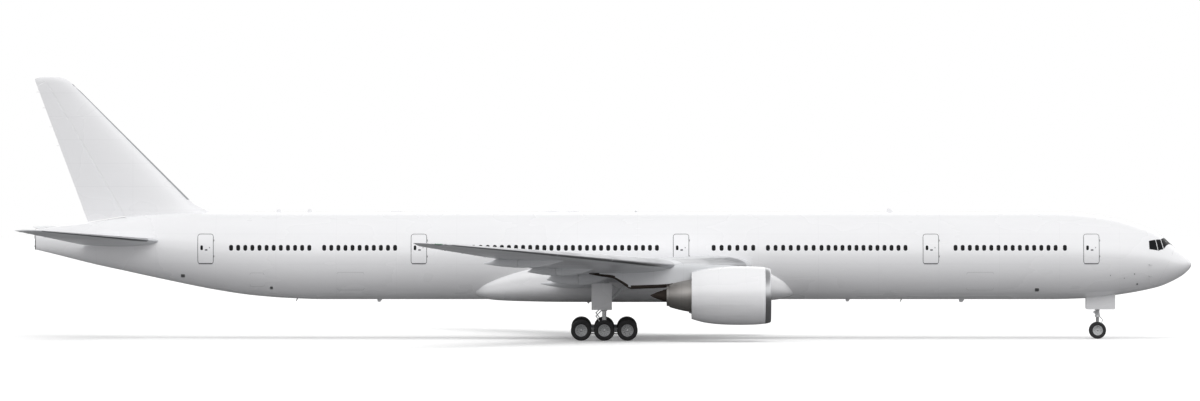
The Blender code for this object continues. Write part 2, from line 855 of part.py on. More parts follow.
def fin_region(name, ends, grow):
    """As for the wing's surfaces, for a hinge line that stands up in the middle plane."""
    (start, start_radius), (end, end_radius) = ends
    along = (end - start).normalized()
    aft = (Vector((-1, 0, 0)) + along * along.x).normalized()
    across = Vector((0, 1, 0))
    rings = []
    for centre, radius in ((start, start_radius), (end + along * grow, end_radius)):
        nose = radius + grow
        lean = math.asin(grow / nose)
        flat = [(REGION_REACH, REGION_RISE), (-grow, REGION_RISE)]
        for i in range(NOSE_STEPS + 1):
            turn = math.pi / 2 + lean + (math.pi - 2 * lean) * i / NOSE_STEPS
            flat.append((nose * math.cos(turn), nose * math.sin(turn)))
        flat += [(-grow, -REGION_RISE), (REGION_REACH, -REGION_RISE)]
        rings.append([centre + aft * a + across * b for a, b in flat])
    return loft(name, rings)


def tail_section(y, fraction):
    _, front_x, front_z, rear_x, rear_z = blend(TAILPLANE_STATIONS, y)
    chord = front_x - rear_x
    half = max(THINNEST_EDGE, TAILPLANE_THICKNESS * chord * thickness_share(fraction))
    return front_x - chord * fraction, front_z + (rear_z - front_z) * fraction, half


def tail_middle(x, y):
    _, front_x, _, rear_x, _ = blend(TAILPLANE_STATIONS, y)
    return tail_section(y, (front_x - x) / (front_x - rear_x))[1:]


def make_tailplanes(body):
    left = loft("tailplane_left", [foil_ring(row[0], tail_section) for row in TAILPLANE_STATIONS])
    cut(left, fuselage_solid("tail_clearance", TRIM_GAP))
    elevator = split_surface(left, "elevator", hinge_points(ELEVATOR, tail_middle))
    root_y = fuselage_half_width(*TRIM_PIVOT)
    start = (TRIM_PIVOT[0], TRIM_SHAFT_END_Y + SEAT_GAP, TRIM_PIVOT[1])
    end = (TRIM_PIVOT[0], root_y + 0.16, TRIM_PIVOT[1])
    fuse(left, tube("trim_shaft", start, end, TRIM_SHAFT_RADIUS, 16))
    pivot = (TRIM_PIVOT[0], root_y, TRIM_PIVOT[1])
    planes = place_pair(left, "tailplane", "white_paint", {1: body, -1: body}, pivot)
    middle = surface_pivot(ELEVATOR, tail_middle)
    place_pair(elevator, "elevator", "white_paint", planes, middle)


# Engines and pylons


def engine_turned(name, profile, closed=False, sides=ENGINE_SIDES):
    return turned(name, profile, (0, ENGINE_Y, ENGINE_Z), (1, 0, 0), sides, closed)


def spun_copies(source, count, name):
    """Copies of a piece round the engine's axis, joined into one mesh."""
    bm = bmesh.new()
    centre = Vector((0, ENGINE_Y, ENGINE_Z))
    for i in range(count):
        turn = Matrix.Rotation(2 * math.pi * i / count, 4, "X")
        move = Matrix.Translation(centre) @ turn @ Matrix.Translation(-centre)
        before = len(bm.verts)
        bm.from_mesh(source.data)
        bm.verts.ensure_lookup_table()
        bmesh.ops.transform(bm, matrix=move, verts=bm.verts[before:])
    remove(source)
    return object_from(name, bm)


def fan_blade():
    rings = []
    for radius, chord, stagger, thickness in FAN_BLADE:
        lean = math.radians(stagger)
        ring = []
        for along, across in ((0.5, 0), (0.05, 0.5), (-0.5, 0), (0.05, -0.5)):
            a, b = chord * along, thickness * across
            x = FAN_X - 0.025 + a * math.cos(lean) - b * math.sin(lean)
            y = a * math.sin(lean) + b * math.cos(lean)
            ring.append(Vector((x, ENGINE_Y + y, ENGINE_Z + radius)))
        rings.append(ring)
    return loft("fan_blade", rings)


def make_engines(body, wing_left, wings):
    lip = engine_turned("intake_lip", [(x + SEAT_GAP, r) for x, r in LIP_PROFILE], closed=True)
    cowl = engine_turned("nacelle", COWL_OUTER + COWL_INNER[:-1] + ((LIP_SEAM_X, 0.745),), closed=True)
    core = engine_turned("engine_core", core_profile())
    vane_low, vane_high = 0.30, COWL_INNER[2][1] * math.cos(math.pi / ENGINE_SIDES) - 2 * SEAT_GAP
    half = GUIDE_VANE_THICKNESS / 2
    vane = block(
        "guide_vane",
        (GUIDE_VANE_X[0], ENGINE_Y - half, ENGINE_Z + vane_low),
        (GUIDE_VANE_X[1], ENGINE_Y + half, ENGINE_Z + vane_high),
    )
    fuse(core, spun_copies(vane, GUIDE_VANES, "guide_vanes"))
    plug = engine_turned("exhaust_plug", PLUG_PROFILE, sides=16)
    fan = engine_turned("fan", FAN_HUB_PROFILE, sides=16)
    blades = spun_copies(fan_blade(), FAN_BLADES, "fan_blades")
    fuse(fan, blades)
    pylon = prism("pylon", PYLON_OUTLINE, "Y", ENGINE_Y - 0.4, ENGINE_Y + 0.4)
    combine(pylon, prism("pylon_plan", pylon_plan(), "Z", 1.0, 3.0), "INTERSECT")
    rear_x = COWL_REAR_X - SEAT_GAP
    envelope = [(LIP_SEAM_X, 0.0)] + [(x, r + SEAT_GAP) for x, r in COWL_OUTER]
    envelope += [(rear_x, COWL_OUTER[-1][1]), (rear_x, 0.0)]
    cut(pylon, engine_turned("cowl_seat", envelope))
    core_seat = [(x, r + SEAT_GAP if r > 0 else 0) for x, r in core_profile()]
    core_seat = core_seat[:-3] + [(1.8427, 0.0)]
    cut(pylon, engine_turned("core_seat", core_seat))
    cut(pylon, duplicate(wing_left, "wing_seat", (SEAT_GAP, 0, -SEAT_GAP)))
    pylons = place_pair(pylon, "pylon", "white_paint", wings)
    place_pair(lip, "intake_lip", "bare_metal", pylons)
    place_pair(cowl, "nacelle", "white_paint", pylons)
    place_pair(core, "engine_core", "hot_metal", pylons)
    place_pair(plug, "exhaust_plug", "hot_metal", pylons)
    place_pair(fan, "fan", "blade_titanium", pylons, (3.95, ENGINE_Y, ENGINE_Z))


def core_profile():
    return ((3.87 - SEAT_GAP, 0.0), (3.87 - SEAT_GAP, 0.070), (3.860, 0.070)) + CORE_PROFILE[1:]


def pylon_plan():
    """Plan view of the pylon: a long lens about the engine's middle plane."""
    front, rear = PYLON_OUTLINE[0][0], PYLON_OUTLINE[6][0]
    shares = (0.0, 0.04, 0.12, 0.28, 0.50, 0.72, 0.88, 1.0)
    upper = []
    for share in shares:
        half = PYLON_HALF_WIDTH * max(0.04, math.sin(math.pi * share**0.8) ** 0.6 if 0 < share < 1 else 0.0)
        upper.append((front + (rear - front) * share, half))
    left = [(x, ENGINE_Y + half) for x, half in upper]
    right = [(x, ENGINE_Y - half) for x, half in reversed(upper)]
    return left + right


# Landing gear


def axle_height(tyre_radius):
    """A many-sided tyre stands on a flat, so its axle is a little under its radius."""
    return tyre_radius * math.cos(math.pi / WHEEL_SIDES)


def wheel_pair(name, centre, tyre_radius, half_width, twin, axle_radius):
    half = (
        (0.75, 0.0),
        (0.75, 0.25),
        (0.40, 0.50),
        (0.92, 0.58),
        (1.00, 0.80),
        (0.50, 1.00),
        (-0.50, 1.00),
        (-1.00, 0.80),
        (-0.92, 0.58),
        (-0.40, 0.50),
    )
    outer = [(-twin - out * half_width, share * tyre_radius) for out, share in half]
    outer.append((-twin + 0.40 * half_width, axle_radius))
    profile = outer + [(-along, radius) for along, radius in reversed(outer)]
    return turned(name, profile, centre, (0, 1, 0), WHEEL_SIDES)


def bore(name, start, end, radius, sides=10):
    """A round cutter whose flats clear a pin of this radius."""
    return tube(name, start, end, (radius + PIN_GAP) / math.cos(math.pi / sides), sides)


def make_main_gear(wing_left, wings):
    axle_z = axle_height(MAIN_TYRE_RADIUS)
    centre = Vector((MAIN_X, MAIN_Y, axle_z))
    stations = [MAIN_X + TRUCK_PITCH * step for step in (1, 0, -1)]
    truck_end = TRUCK_PITCH + 0.11
    reach = Vector((truck_end, 0, 0))
    truck = tube("truck", centre - reach, centre + reach, TRUCK_RADIUS, TRUCK_SIDES)
    saddle_low = axle_z + TRUCK_RADIUS * math.cos(math.pi / TRUCK_SIDES) + SEAT_GAP
    saddle_high = axle_z + 0.17
    low, high = (MAIN_X - 0.075, MAIN_Y - 0.110, saddle_low), (MAIN_X + 0.075, MAIN_Y + 0.110, saddle_high)
    leg = block("main_leg", low, high)
    for sign in (1, -1):
        near, far = sorted((MAIN_Y + sign * (TRUCK_RADIUS + 0.004), MAIN_Y + sign * 0.109))
        low, high = (MAIN_X - 0.065, near, axle_z - 0.070), (MAIN_X + 0.065, far, saddle_high - 0.02)
        fuse(leg, block("fork", low, high))
    top = (MAIN_X, MAIN_Y, 2.18)
    knee = (MAIN_X, MAIN_Y, MAIN_PISTON_TOP)
    piston_low = (MAIN_X, MAIN_Y, saddle_high - 0.05)
    piston_high = (MAIN_X, MAIN_Y, MAIN_PISTON_TOP + 0.05)
    link_low, link_high = (MAIN_X - 0.26, MAIN_Y, 0.76), (MAIN_X - 0.26, MAIN_Y, 0.775)
    fuse(
        leg,
        tube("piston", piston_low, piston_high, MAIN_PISTON_RADIUS),
        tube("leg_cylinder", knee, top, MAIN_LEG_RADIUS, 12),
        tube("side_brace", (MAIN_X, MAIN_Y, 1.12), (MAIN_X - 0.04, 1.74, 2.02), 0.042, 6),
        tube("drag_brace", (MAIN_X, MAIN_Y, 1.05), (MAIN_X + 0.98, MAIN_Y - 0.12, 2.10), 0.042, 6),
        tube("upper_link", (MAIN_X, MAIN_Y, 0.99), link_low, 0.026, 6),
        tube("lower_link", link_high, (MAIN_X - 0.02, MAIN_Y, saddle_high - 0.04), 0.026, 6),
    )
    for x in stations:
        cut(truck, bore("axle_bore", (x, MAIN_Y - 0.3, axle_z), (x, MAIN_Y + 0.3, axle_z), AXLE_RADIUS))
    cut(leg, bore("fork_bore", (MAIN_X, MAIN_Y - 0.3, axle_z), (MAIN_X, MAIN_Y + 0.3, axle_z), AXLE_RADIUS))
    cut(leg, duplicate(wing_left, "leg_seat", (0, 0, -SEAT_GAP)))
    door = block(
        "main_gear_door",
        (MAIN_X - 0.40, MAIN_Y + 0.150, 0.96),
        (MAIN_X + 0.24, MAIN_Y + 0.168, 1.80),
    )
    for z in (1.15, 1.60):
        fuse(door, tube("door_link", (MAIN_X, MAIN_Y + 0.02, z), (MAIN_X, MAIN_Y + 0.16, z), 0.030, 6))
    seat_radius = MAIN_LEG_RADIUS + 1.1 * SEAT_GAP
    cut(door, tube("link_seat", (MAIN_X, MAIN_Y, 0.9), (MAIN_X, MAIN_Y, 1.9), seat_radius, 12))
    legs = place_pair(leg, "main_leg", "gear_paint", wings)
    place_pair(door, "main_gear_door", "white_paint", legs)
    trucks = place_pair(truck, "truck", "gear_paint", legs)
    for side in (1, -1):
        for number, x in enumerate(stations, start=1):
            hub = (x, side * MAIN_Y, axle_z)
            name = f"main_wheels_{side_name(side)}_{number}"
            sizes = (MAIN_TYRE_RADIUS, MAIN_TYRE_HALF_WIDTH, MAIN_TWIN, AXLE_RADIUS)
            wheels = wheel_pair(name, hub, *sizes)
            finish(wheels, name, "tyre_rubber", hub, trucks[side])


def make_nose_gear(body):
    axle_z = axle_height(NOSE_TYRE_RADIUS)
    low, high = (NOSE_X, 0, STEERING_Z + SEAT_GAP), (NOSE_X, 0, WELL_TOP_Z - SEAT_GAP)
    leg = tube("nose_leg", low, high, NOSE_LEG_RADIUS, 12)
    fuse(
        leg,
        tube("drag_brace", (NOSE_X, 0, 1.05), (NOSE_X + 0.46, 0, 1.70), 0.032, 6),
        tube("brace_pin", (NOSE_X + 0.45, -0.22, 1.69), (NOSE_X + 0.45, 0.22, 1.69), 0.028, 6),
        tube("steering_ram", (NOSE_X - 0.095, -0.15, 0.84), (NOSE_X - 0.095, 0.15, 0.84), 0.034, 6),
    )
    finish(leg, "nose_leg", "gear_paint", parent=body)
    low, high = (NOSE_X - 0.055, -0.048, axle_z - 0.06), (NOSE_X + 0.055, 0.048, axle_z + 0.06)
    steering = block("nose_steering", low, high)
    fuse(
        steering,
        tube("nose_piston", (NOSE_X, 0, axle_z + 0.03), (NOSE_X, 0, STEERING_Z - 0.02), NOSE_PISTON_RADIUS),
        tube("steering_collar", (NOSE_X, 0, STEERING_Z - 0.075), (NOSE_X, 0, STEERING_Z), 0.082, 12),
        tube("upper_link", (NOSE_X, 0, STEERING_Z - 0.045), (NOSE_X + 0.17, 0, 0.590), 0.018, 6),
        tube("lower_link", (NOSE_X + 0.17, 0, 0.600), (NOSE_X + 0.02, 0, axle_z + 0.045), 0.018, 6),
    )
    cut(steering, bore("axle_bore", (NOSE_X, -0.2, axle_z), (NOSE_X, 0.2, axle_z), NOSE_AXLE_RADIUS))
    finish(steering, "nose_steering", "gear_paint", (NOSE_X, 0, STEERING_Z), leg)
    hub = (NOSE_X, 0, axle_z)
    sizes = (NOSE_TYRE_RADIUS, NOSE_TYRE_HALF_WIDTH, NOSE_TWIN, NOSE_AXLE_RADIUS)
    wheels = wheel_pair("nose_wheels", hub, *sizes)
    finish(wheels, "nose_wheels", "tyre_rubber", hub, steering)
    for side in (1, -1):
        near, far = sorted((side * (WELL_HALF_WIDTH + 0.004), side * (WELL_HALF_WIDTH + 0.022)))
        low, high = (WELL_X[0] + 0.01, near, 0.93), (WELL_X[1] - 0.01, far, 1.50)
        door = block(f"nose_gear_door_{side_name(side)}", low, high)
        cut(door, fuselage_solid("door_seat", SEAT_GAP))
        finish(door, door.name, "white_paint", parent=body)


def make_wings(body):
    pieces = make_left_wing()
    wing_left = pieces["wing"]
    wings = place_pair(wing_left, "wing", "white_paint", {1: body, -1: body})
    flaps = (
        ("inboard_flap", INBOARD_FLAP, INBOARD_PIVOT_DROP),
        ("outboard_flap", OUTBOARD_FLAP, OUTBOARD_PIVOT_DROP),
    )
    for name, line, drop in flaps:
        place_pair(pieces[name], name, "white_paint", wings, surface_pivot(line, wing_middle, drop))
    for name, line in (("flaperon", FLAPERON), ("aileron", AILERON)):
        place_pair(pieces[name], name, "white_paint", wings, surface_pivot(line, wing_middle))
    return wing_left, wings


def main():
    clear_scene()
    body = make_fuselage()
    make_fairing(body)
    make_fin(body)
    make_tailplanes(body)
    wing_left, wings = make_wings(body)
    make_engines(body, wing_left, wings)
    make_main_gear(wing_left, wings)
    make_nose_gear(body)


main()
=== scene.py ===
# Long twin-engined wide-body airliner standing on its gear, dressed round its CAD frame.
# Metres, +X towards the nose, +Y towards the left wing, +Z up, ground at Z = 0.
import json
import math

import bmesh
import bpy
from mathutils import Matrix, Vector

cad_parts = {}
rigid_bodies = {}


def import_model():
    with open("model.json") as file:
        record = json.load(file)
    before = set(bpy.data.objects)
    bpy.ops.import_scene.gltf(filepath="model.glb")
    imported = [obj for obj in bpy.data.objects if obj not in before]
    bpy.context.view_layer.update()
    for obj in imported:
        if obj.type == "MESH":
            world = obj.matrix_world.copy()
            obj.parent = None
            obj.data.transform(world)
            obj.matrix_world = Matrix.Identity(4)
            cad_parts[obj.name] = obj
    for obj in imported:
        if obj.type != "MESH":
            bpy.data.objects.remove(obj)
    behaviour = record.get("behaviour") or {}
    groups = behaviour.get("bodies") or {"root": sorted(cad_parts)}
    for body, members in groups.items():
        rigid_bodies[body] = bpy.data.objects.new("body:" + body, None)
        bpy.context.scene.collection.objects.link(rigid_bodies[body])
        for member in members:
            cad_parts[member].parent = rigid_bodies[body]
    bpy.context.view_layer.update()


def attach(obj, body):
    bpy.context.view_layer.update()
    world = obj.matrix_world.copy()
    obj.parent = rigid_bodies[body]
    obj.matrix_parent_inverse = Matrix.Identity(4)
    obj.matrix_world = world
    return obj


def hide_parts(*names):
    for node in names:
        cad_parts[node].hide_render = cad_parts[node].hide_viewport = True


for leftOver in list(bpy.data.objects):
    bpy.data.objects.remove(leftOver, do_unlink=True)

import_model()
print("frame loaded")


# Shader groups

def shaderGroup(name, inputs, outputs):
    tree = bpy.data.node_groups.new(name, "ShaderNodeTree")
    kinds = {"colour": "NodeSocketColor", "value": "NodeSocketFloat"}
    for label, kind, value in inputs:
        socket = tree.interface.new_socket(label, in_out="INPUT", socket_type=kinds[kind])
        socket.default_value = (*value, 1.0) if kind == "colour" else value
    for label, kind in outputs:
        tree.interface.new_socket(label, in_out="OUTPUT", socket_type=kinds[kind])
    return tree, tree.nodes.new("NodeGroupInput").outputs, tree.nodes.new("NodeGroupOutput")


def putNode(tree, kind, feeds=None, **settings):
    # a node with its settings; each feed is a socket to link, a list of them or a plain value
    node = tree.nodes.new(kind)
    for key, value in settings.items():
        setattr(node, key, value)
    for key, value in (feeds or {}).items():
        socket = node.inputs[key]
        for item in value if isinstance(value, list) else [value]:
            if isinstance(item, bpy.types.NodeSocket):
                tree.links.new(item, socket)
            elif item is not None:
                socket.default_value = (*item, 1.0) if socket.type == "RGBA" else item
    return node


def mathNode(tree, operation, first, second=None, clamp=False):
    node = putNode(tree, "ShaderNodeMath", {0: first, 1: second}, operation=operation, use_clamp=clamp)
    return node.outputs[0]


def mixColour(tree, factor, first, second):
    return putNode(tree, "ShaderNodeMix", {0: factor, 6: first, 7: second}, data_type="RGBA").outputs[2]


def noiseValue(tree, coordinates, scale, detail=3.0, stretch=None):
    if stretch:
        coordinates = putNode(tree, "ShaderNodeMapping", {"Vector": coordinates, "Scale": stretch}).outputs[0]
    feeds = {"Vector": coordinates, "Scale": scale, "Detail": detail}
    return putNode(tree, "ShaderNodeTexNoise", feeds).outputs[0]


def mapRange(tree, value, low, high, toLow=0.0, toHigh=1.0, soft=False):
    feeds = {"Value": value, "From Min": low, "From Max": high, "To Min": toLow, "To Max": toHigh}
    way = "SMOOTHSTEP" if soft else "LINEAR"
    return putNode(tree, "ShaderNodeMapRange", feeds, interpolation_type=way).outputs[0]


def objectPlace(tree):
    # object coordinates, whole and split
    place = tree.nodes.new("ShaderNodeTexCoord").outputs["Object"]
    return place, putNode(tree, "ShaderNodeSeparateXYZ", {0: place}).outputs


def makeWeatherGroup():
    # slow patches, streaks along the airflow and a fine grain, for every painted or metal skin
    tree, given, result = shaderGroup(
        "weather",
        (
            ("Colour", "colour", (0.8, 0.8, 0.8)), ("Stain", "colour", (0.4, 0.37, 0.33)),
            ("Patches", "value", 0.04), ("Streaks", "value", 0.05), ("Belly Stain", "value", 0.0),
            ("Belly Height", "value", 1.4), ("Grain Scale", "value", 60.0), ("Roughness", "value", 0.3),
            ("Roughness Spread", "value", 0.06),
        ),
        (("Colour", "colour"), ("Roughness", "value"), ("Height", "value")),
    )
    place, split = objectPlace(tree)
    patch = mapRange(tree, noiseValue(tree, place, 0.45, 2.0), 0.25, 0.75, soft=True)
    streak = mapRange(tree, noiseValue(tree, place, 1.6, 3.0, (0.16, 1.0, 1.4)), 0.42, 0.82, soft=True)
    grain = noiseValue(tree, place, given["Grain Scale"], 2.0)
    top = mathNode(tree, "ADD", given["Belly Height"], 0.45)
    low = mapRange(tree, split["Z"], top, given["Belly Height"])
    soiled = mathNode(tree, "MULTIPLY", mathNode(tree, "MULTIPLY", low, streak), given["Belly Stain"])
    share = mathNode(tree, "MULTIPLY", patch, given["Patches"])
    share = mathNode(tree, "ADD", share, mathNode(tree, "MULTIPLY", streak, given["Streaks"]))
    share = mathNode(tree, "ADD", share, soiled, clamp=True)
    spread = mathNode(tree, "MULTIPLY", mathNode(tree, "SUBTRACT", patch, 0.5), given["Roughness Spread"])
    rough = mathNode(tree, "ADD", mathNode(tree, "ADD", given["Roughness"], spread), share, clamp=True)
    tree.links.new(mixColour(tree, share, given["Colour"], given["Stain"]), result.inputs["Colour"])
    tree.links.new(rough, result.inputs["Roughness"])
    tree.links.new(grain, result.inputs["Height"])
    return tree


def makeSeamGroup():
    # fine lines where sheets meet, spaced along X and across Z
    tree, given, result = shaderGroup(
        "sheetSeams",
        (
            ("Colour", "colour", (0.8, 0.8, 0.8)), ("Line Colour", "colour", (0.3, 0.3, 0.31)),
            ("Length", "value", 1.8), ("Height Step", "value", 0.9), ("Width", "value", 0.006),
            ("Strength", "value", 0.25),
        ),
        (("Colour", "colour"), ("Seam", "value")),
    )
    split = objectPlace(tree)[1]
    lines = []
    for axis, step in (("X", "Length"), ("Z", "Height Step")):
        turn = mathNode(tree, "DIVIDE", split[axis], given[step])
        off = mathNode(tree, "ABSOLUTE", mathNode(tree, "SUBTRACT", mathNode(tree, "FRACT", turn), 0.5))
        away = mathNode(tree, "MULTIPLY", off, given[step])
        lines.append(mathNode(tree, "LESS_THAN", away, given["Width"]))
    seam = mathNode(tree, "MAXIMUM", *lines)
    share = mathNode(tree, "MULTIPLY", seam, given["Strength"])
    tree.links.new(mixColour(tree, share, given["Colour"], given["Line Colour"]), result.inputs[0])
    tree.links.new(seam, result.inputs[1])
    return tree


weatherGroup = makeWeatherGroup()
seamGroup = makeSeamGroup()


# Finishes: values a user would change

finishes = {
    "whitePaint": {"colour": (0.87, 0.87, 0.885), "rough": 0.26, "coat": 0.5, "coatRough": 0.06, "grain": 55.0,
                   "patches": 0.02, "streaks": 0.035, "belly": 0.35, "seams": (1.9, 0.95, 0.0035, 0.12)},
    "wingPaint": {"colour": (0.66, 0.67, 0.69), "rough": 0.34, "coat": 0.25, "coatRough": 0.12, "grain": 60.0,
                  "patches": 0.05, "seams": (0.95, 40.0, 0.0035, 0.22)},
    "tailPaint": {"colour": (0.87, 0.87, 0.885), "rough": 0.27, "coat": 0.5, "coatRough": 0.06, "grain": 55.0,
                  "patches": 0.02, "streaks": 0.03, "seams": (30.0, 0.74, 0.0035, 0.16)},
    "bareMetal": {"colour": (0.56, 0.565, 0.58), "rough": 0.22, "metal": 1.0, "bump": 0.0003, "patches": 0.08,
                  "streaks": 0.12},
    "edgeMetal": {"colour": (0.42, 0.425, 0.44), "rough": 0.32, "metal": 1.0, "bump": 0.0003, "streaks": 0.15},
    "hotMetal": {"colour": (0.60, 0.585, 0.57), "stain": (0.24, 0.20, 0.17), "rough": 0.30, "metal": 1.0,
                 "grain": 130.0, "bump": 0.0006, "patches": 0.35, "streaks": 0.45,
                 "seams": (0.42, 0.6, 0.003, 0.5)},
    "plugMetal": {"colour": (0.16, 0.135, 0.12), "stain": (0.05, 0.035, 0.03), "rough": 0.5, "metal": 1.0,
                  "grain": 130.0, "bump": 0.0006, "patches": 0.4, "streaks": 0.5},
    "gearPaint": {"colour": (0.66, 0.67, 0.68), "rough": 0.42, "coat": 0.1, "coatRough": 0.2, "grain": 120.0,
                  "bump": 0.0005, "streaks": 0.12, "belly": 0.35, "bellyHeight": 0.25},
    "oleoChrome": {"colour": (0.78, 0.78, 0.79), "rough": 0.12, "metal": 1.0, "grain": 200.0, "bump": 0.0002,
                   "patches": 0.03, "streaks": 0.04},
    "wheelPaint": {"colour": (0.58, 0.59, 0.60), "stain": (0.14, 0.12, 0.10), "rough": 0.45, "metal": 0.2,
                   "grain": 150.0, "bump": 0.0005, "patches": 0.2, "streaks": 0.2},
    "brakeMetal": {"colour": (0.17, 0.165, 0.16), "stain": (0.08, 0.06, 0.05), "rough": 0.6, "metal": 0.8,
                   "grain": 160.0, "bump": 0.001, "patches": 0.3, "streaks": 0.3},
    "tyreRubber": {"colour": (0.028, 0.028, 0.030), "stain": (0.09, 0.085, 0.08), "rough": 0.82, "grain": 220.0,
                   "bump": 0.0018, "patches": 0.25, "streaks": 0.2, "belly": 0.3, "bellyHeight": -0.1},
    "sealRubber": {"colour": (0.16, 0.16, 0.17), "rough": 0.7, "grain": 220.0, "bump": 0.0006, "patches": 0.2},
    "cabinGlass": {"colour": (0.006, 0.0065, 0.008), "stain": (0.03, 0.03, 0.032), "rough": 0.12,
                   "specular": 0.12, "grain": 12.0, "bump": 0.0002, "streaks": 0.04},
    "cockpitGlass": {"colour": (0.010, 0.0105, 0.012), "stain": (0.05, 0.05, 0.055), "rough": 0.14,
                     "specular": 0.04, "grain": 8.0, "bump": 0.0002, "streaks": 0.03},
    "bladeTitanium": {"colour": (0.20, 0.205, 0.22), "rough": 0.3, "metal": 1.0, "grain": 150.0, "patches": 0.2,
                      "streaks": 0.2},
    "spinnerPaint": {"colour": (0.10, 0.105, 0.11), "rough": 0.4, "coat": 0.3, "coatRough": 0.2, "grain": 90.0,
                     "patches": 0.15},
    "redLamp": {"colour": (0.36, 0.17, 0.16), "rough": 0.12, "coat": 0.8, "grain": 60.0, "bump": 0.0003,
                "streaks": 0.03},
    "greenLamp": {"colour": (0.20, 0.31, 0.25), "rough": 0.12, "coat": 0.8, "grain": 60.0, "bump": 0.0003,
                  "streaks": 0.03},
    "softLine": {"colour": (0.45, 0.45, 0.46), "rough": 0.6, "grain": 200.0, "patches": 0.15},
    "slatMetal": {"colour": (0.52, 0.525, 0.54), "rough": 0.34, "metal": 1.0, "bump": 0.0003, "patches": 0.06},
    "lampGlass": {"colour": (0.85, 0.86, 0.88), "rough": 0.08, "coat": 1.0, "coatRough": 0.02, "grain": 40.0,
                  "patches": 0.03, "streaks": 0.02},
    "linerGrey": {"colour": (0.42, 0.43, 0.44), "rough": 0.55, "grain": 320.0, "bump": 0.0012, "patches": 0.12},
}


commonFinish = {
    "grain": 190.0, "bump": 0.0004, "patches": 0.10, "streaks": 0.10, "belly": 0.0, "bellyHeight": 1.2,
    "metal": 0.0, "specular": 0.5, "coat": 0.0, "coatRough": 0.03,
}


def makeFinish(name):
    values = {**commonFinish, **finishes[name]}
    material = bpy.data.materials.new(name)
    material.use_nodes = True
    tree = material.node_tree
    weather = putNode(tree, "ShaderNodeGroup", node_tree=weatherGroup)
    feeds = {
        "Colour": values["colour"], "Stain": values.get("stain", tuple(0.45 * c for c in values["colour"])),
        "Patches": values["patches"], "Streaks": values["streaks"], "Belly Stain": values["belly"],
        "Belly Height": values["bellyHeight"], "Grain Scale": values["grain"], "Roughness": values["rough"],
    }
    for key, value in feeds.items():
        weather.inputs[key].default_value = (*value, 1.0) if isinstance(value, tuple) else value
    colour, height = weather.outputs["Colour"], weather.outputs["Height"]
    if "seams" in values:
        feeds = dict(zip(("Length", "Height Step", "Width", "Strength"), values["seams"]))
        seams = putNode(tree, "ShaderNodeGroup", node_tree=seamGroup)
        for key, value in feeds.items():
            seams.inputs[key].default_value = value
        tree.links.new(colour, seams.inputs["Colour"])
        colour = seams.outputs["Colour"]
        height = mathNode(tree, "SUBTRACT", height, seams.outputs["Seam"])
    bump = putNode(tree, "ShaderNodeBump", {"Strength": 0.6, "Distance": values["bump"], "Height": height})
    shader = tree.nodes["Principled BSDF"]
    tree.links.new(colour, shader.inputs["Base Color"])
    tree.links.new(weather.outputs["Roughness"], shader.inputs["Roughness"])
    tree.links.new(bump.outputs["Normal"], shader.inputs["Normal"])
    shader.inputs["Metallic"].default_value = values["metal"]
    shader.inputs["Specular IOR Level"].default_value = values["specular"]
    shader.inputs["Coat Weight"].default_value = values["coat"]
    shader.inputs["Coat Roughness"].default_value = values["coatRough"]
    return material


finish = {name: makeFinish(name) for name in finishes}
print("finishes made:", len(finish))


# Mesh helpers

def settle(obj, body, stands=()):
    # the piece rides on its body, and stands for the CAD nodes it covers
    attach(obj, body)
    if stands:
        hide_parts(*stands)
    return obj


def smoothFaces(mesh, angle):
    mesh.shade_smooth()
    mesh.set_sharp_from_angle(angle=math.radians(angle))


def bareObject(name, bm):
    # the mesh as an object in the scene
    mesh = bpy.data.meshes.new(name)
    bm.to_mesh(mesh)
    bm.free()
    obj = bpy.data.objects.new(name, mesh)
    bpy.context.scene.collection.objects.link(obj)
    return obj


def makePiece(name, bm, material, body, stands=(), angle=32):
    bmesh.ops.recalc_face_normals(bm, faces=bm.faces)
    obj = bareObject(name, bm)
    for item in material if isinstance(material, tuple) else (material,):
        obj.data.materials.append(finish[item])
    smoothFaces(obj.data, angle)
    return settle(obj, body, stands)


def joinLayers(bm, layers):
    # closes two grids of corners into one thin panel
    rows, columns = len(layers[0]), len(layers[0][0])
    for i in range(rows - 1):
        for j in range(columns - 1):
            for layer in layers:
                bm.faces.new((layer[i][j], layer[i][j + 1], layer[i + 1][j + 1], layer[i + 1][j]))
    rim = [(0, j) for j in range(columns)] + [(i, columns - 1) for i in range(1, rows)]
    rim += [(rows - 1, j) for j in range(columns - 2, -1, -1)] + [(i, 0) for i in range(rows - 2, 0, -1)]
    for (a, b), (c, d) in zip(rim, rim[1:] + rim[:1]):
        bm.faces.new((layers[0][a][b], layers[0][c][d], layers[1][c][d], layers[1][a][b]))


def growOn(name, points, tree, values, body):
    # pieces of a tree on points that all face aft
    growPiece(name, points, [(-1.0, 0.0, 0.0)] * len(points), tree, values, body)


def steps(low, high, count):
    return [low + (high - low) * i / count for i in range(count + 1)]


def turnedBy(turn, side):
    # the same turn on the left side or the right
    return turn if side > 0 else 2 * math.pi - turn


def fullTurn(count):
    return [2 * math.pi * i / count for i in range(count)]


# Body: station X, top Z, bottom Z and half width, then the openings in it

